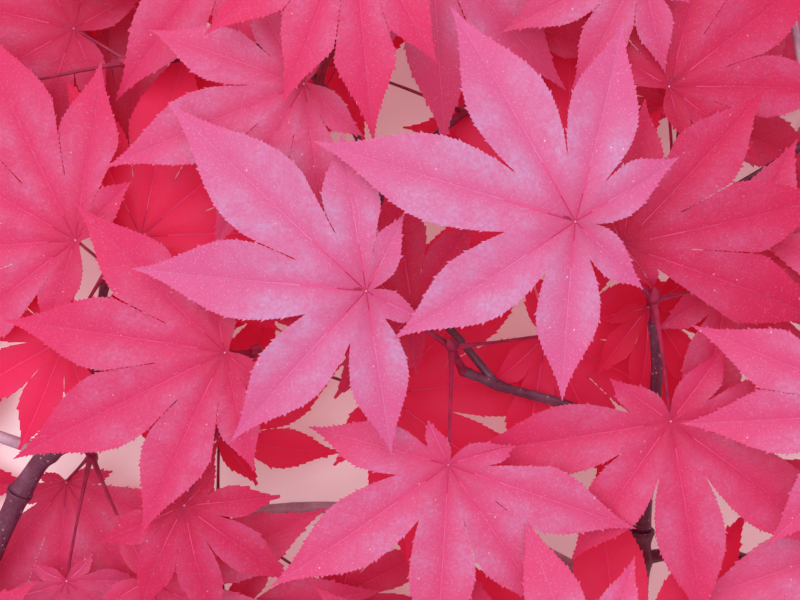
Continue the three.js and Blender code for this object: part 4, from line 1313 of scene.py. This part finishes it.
# A thick limb has more sides than a thin one.
LIMB_SIDES = {True: 20, False: 12}
LENGTH_STEPS = 200
CURVE_STEP = 0.002
STRAIGHT_UP = [0.0, 0.0, 1.0]


def length_of(name):
    """How long a limb's curve is."""
    places = along_curve(limb_points[name], np.arange(LENGTH_STEPS + 1) / LENGTH_STEPS)
    return float(np.linalg.norm(np.diff(places, axis=0), axis=1).sum())


def limb_radius(name, share, length, feet):
    """A limb's radius at a share of its length, with its ring scars and a collar at each foot on it."""
    foot, _, radii = BOUGHS[name]
    radius = radii[0] + (radii[1] - radii[0]) * share
    run = share * length
    swell = SWELL_AT_FOOT * math.exp(-run / SWELL_REACH) if foot else 0.0
    for at in feet:
        swell = max(swell, SWELL_AT_TWIG * math.exp(-(((share - at) * length / SWELL_REACH) ** 2)))
    ring = abs((run - RING_SPACING / 2) % RING_SPACING - RING_SPACING / 2)
    scar = RING_HEIGHT * math.exp(-((ring / RING_WIDTH) ** 2)) if run > RING_SPACING / 2 else 0.0
    return radius * (1 + swell) + scar


def limb_form(name):
    """A limb as a bmesh: a cylinder of rings, drawn out along the limb's curve."""
    length = length_of(name)
    feet = [one[0][1] for one in [*BOUGHS.values(), *SPRAYS.values()] if one[0] and one[0][0] == name]
    form = bmesh.new()
    sides = LIMB_SIDES[BOUGHS[name][2][0] > THICK_FOOT]
    bmesh.ops.create_cone(form, cap_ends=True, segments=sides, radius1=1, radius2=1, depth=1)
    long_edges = [edge for edge in form.edges if abs(edge.verts[0].co.z - edge.verts[1].co.z) > 0.5]
    cuts = max(LEAST_LIMB_ROWS, round(length / LIMB_ROW_LENGTH))
    bmesh.ops.subdivide_edges(form, edges=long_edges, cuts=cuts, use_grid_fill=True)
    places = np.array([vert.co[:] for vert in form.verts])
    shares = np.clip(places[:, 2] + 0.5, 0, 1)
    spots = along_curve(limb_points[name], shares)
    after = along_curve(limb_points[name], np.minimum(shares + CURVE_STEP, 1))
    before = along_curve(limb_points[name], np.maximum(shares - CURVE_STEP, 0))
    side, top = across_curve(after - before, STRAIGHT_UP)
    for vert, place, share, spot, out, up in zip(form.verts, places, shares, spots, side, top):
        turn = math.atan2(place[1], place[0])
        phases = [waves * turn + climb * share * length for waves, climb in RELIEF_WAVES]
        radius = limb_radius(name, share, length, feet) + sum(RELIEF * math.sin(phase) for phase in phases)
        placed = spot + radius * (out * place[0] + up * place[1])
        vert.co = (placed - BOX_CENTRE) * MM
    return form


# %% [markdown]
# ## Finish of the wood
#
# Bark of this age is a thin satin skin. A fine noise gives it a faint grain, a broad one the grey film, and
# cells make the pores. The cut end shows pale wood with a darker pith.

# %% Bark and cut wood
PORE_MM = 1.7
FILM_MM = 11.0
GRAIN_MM = 0.6
GRAINED = {"From Min": 0.3, "From Max": 0.7}
FILM_FADE = 0.22
FILM_STRENGTH = 0.6
PORED = {"From Min": 0.19, "From Max": 0.1}
PORE_COLOUR = "#c69aa4"
PORE_STRENGTH = 0.55
PORE_HEIGHT = 0.5
WOOD_RING_MM = 1.1
WOOD_COLOURS = ("#e6c9a4", "#d4ae84")
PITH_COLOUR = "#a3704a"
PITH_FADES = {"From Min": 0.9 * MM, "From Max": 0.5 * MM}


def bark_finish(name, main, dark, film, film_from):
    """Smooth young bark, which shines softly, with a grey film, a fine grain and pale pores."""
    material, tree = new_material(name)
    place = add(tree, "TexCoord", take="Object")
    rough = {"Vector": place, "Scale": per_metre(FILM_MM), "Detail": 5.0, "Roughness": 0.6}
    fine = {"Vector": place, "Scale": per_metre(GRAIN_MM), "Detail": 4.0, "Roughness": 0.65}
    broad, grain = (add(tree, "TexNoise", inputs) for inputs in (rough, fine))
    cells = add(tree, "TexVoronoi", {"Vector": place, "Scale": per_metre(PORE_MM)})
    filmed = {"From Min": film_from, "From Max": film_from + FILM_FADE, "To Max": FILM_STRENGTH}
    colour = linear(dark)
    for value, marks, laid_over in (
        (grain, GRAINED, main),
        (broad, filmed, film),
        (cells, {**PORED, "To Max": PORE_STRENGTH}, PORE_COLOUR),
    ):
        seen = add(tree, "MapRange", {"Value": value, **marks})
        colour = add(tree, "Mix", {SHARE: seen, UNDER: colour, OVER: linear(laid_over)}, **LAYERED)
    pore = add(tree, "MapRange", {"Value": cells, **PORED})
    height = add(tree, "Math", {0: pore, 1: PORE_HEIGHT, 2: grain}, operation="MULTIPLY_ADD")
    normal = add(tree, "Bump", {"Height": height, "Strength": 0.5, "Distance": 0.15 * MM})
    finish_skin(tree, {"Base Color": colour, "Roughness": 0.42, "Specular IOR Level": 0.4, "Normal": normal})
    return material


def cut_wood_finish(middle):
    """Freshly cut wood, which is pale and dull, with rings about a darker pith."""
    material, tree = new_material("freshly_cut_pale_wood")
    place = add(tree, "TexCoord", take="Object")
    centred = add(tree, "Mapping", {"Vector": place, "Location": [-c for c in middle]})
    far = add(tree, "VectorMath", {0: centred}, take="Value", operation="LENGTH")
    rings = add(tree, "Math", {0: far, 1: 2 * math.pi / (WOOD_RING_MM * MM)}, operation="MULTIPLY")
    wave = add(tree, "Math", {0: rings}, operation="SINE")
    ringed = add(tree, "MapRange", {"Value": wave, "From Min": -1, "From Max": 1})
    early, late = (linear(colour) for colour in WOOD_COLOURS)
    wood = add(tree, "Mix", {SHARE: ringed, UNDER: early, OVER: late}, **LAYERED)
    pith = add(tree, "MapRange", {"Value": far, **PITH_FADES})
    colour = add(tree, "Mix", {SHARE: pith, UNDER: wood, OVER: linear(PITH_COLOUR)}, **LAYERED)
    finish_skin(tree, {"Base Color": colour, "Roughness": 0.7})
    return material


purple_bark = bark_finish("smooth_purple_brown_bark", "#702446", "#3c1028", "#8a5876", 0.53)
grey_bark = bark_finish("grey_weathered_bark", "#a6768c", "#845569", "#bb9bab", 0.4)
cut_wood = cut_wood_finish((limb_points["stem"][0] - BOX_CENTRE) * MM)

# %% Join the limbs into pieces
MAIN_LIMBS = ["stem", "left_bough", "left_upper_bough", "right_bough"]
GREY_LIMBS = ["low_middle_twig", "outer_left_twig", "top_right_twig"]
PURPLE_SLOT, GREY_SLOT, CUT_SLOT = 0, 1, 2


def limb_piece(name, limbs):
    """Makes one piece of bark of some limbs."""
    joined_form = bmesh.new()
    near_cut = (limb_points["stem"][1][1] - BOX_CENTRE[1]) * MM
    for limb in limbs:
        form = limb_form(limb)
        for face in form.faces:
            side = len(face.verts) == 4
            face.smooth = side
            face.material_index = GREY_SLOT if limb in GREY_LIMBS else PURPLE_SLOT
            if limb == "stem" and not side and face.calc_center_median().y < near_cut:
                face.material_index = CUT_SLOT
        loose = bpy.data.meshes.new("loose")
        form.to_mesh(loose)
        joined_form.from_mesh(loose)
        form.free()
        bpy.data.meshes.remove(loose)
    mesh = bpy.data.meshes.new(name)
    joined_form.to_mesh(mesh)
    joined_form.free()
    for material in (purple_bark, grey_bark, cut_wood):
        mesh.materials.append(material)
    made = bpy.data.objects.new(name, mesh)
    bpy.context.collection.objects.link(made)
    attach(made, "root")
    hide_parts(*limbs)
    print(name, "joins", len(limbs), "limbs with", len(mesh.polygons), "faces")


limb_piece("stem_and_boughs", MAIN_LIMBS)
limb_piece("twigs", [limb for limb in BOUGHS if limb not in MAIN_LIMBS])
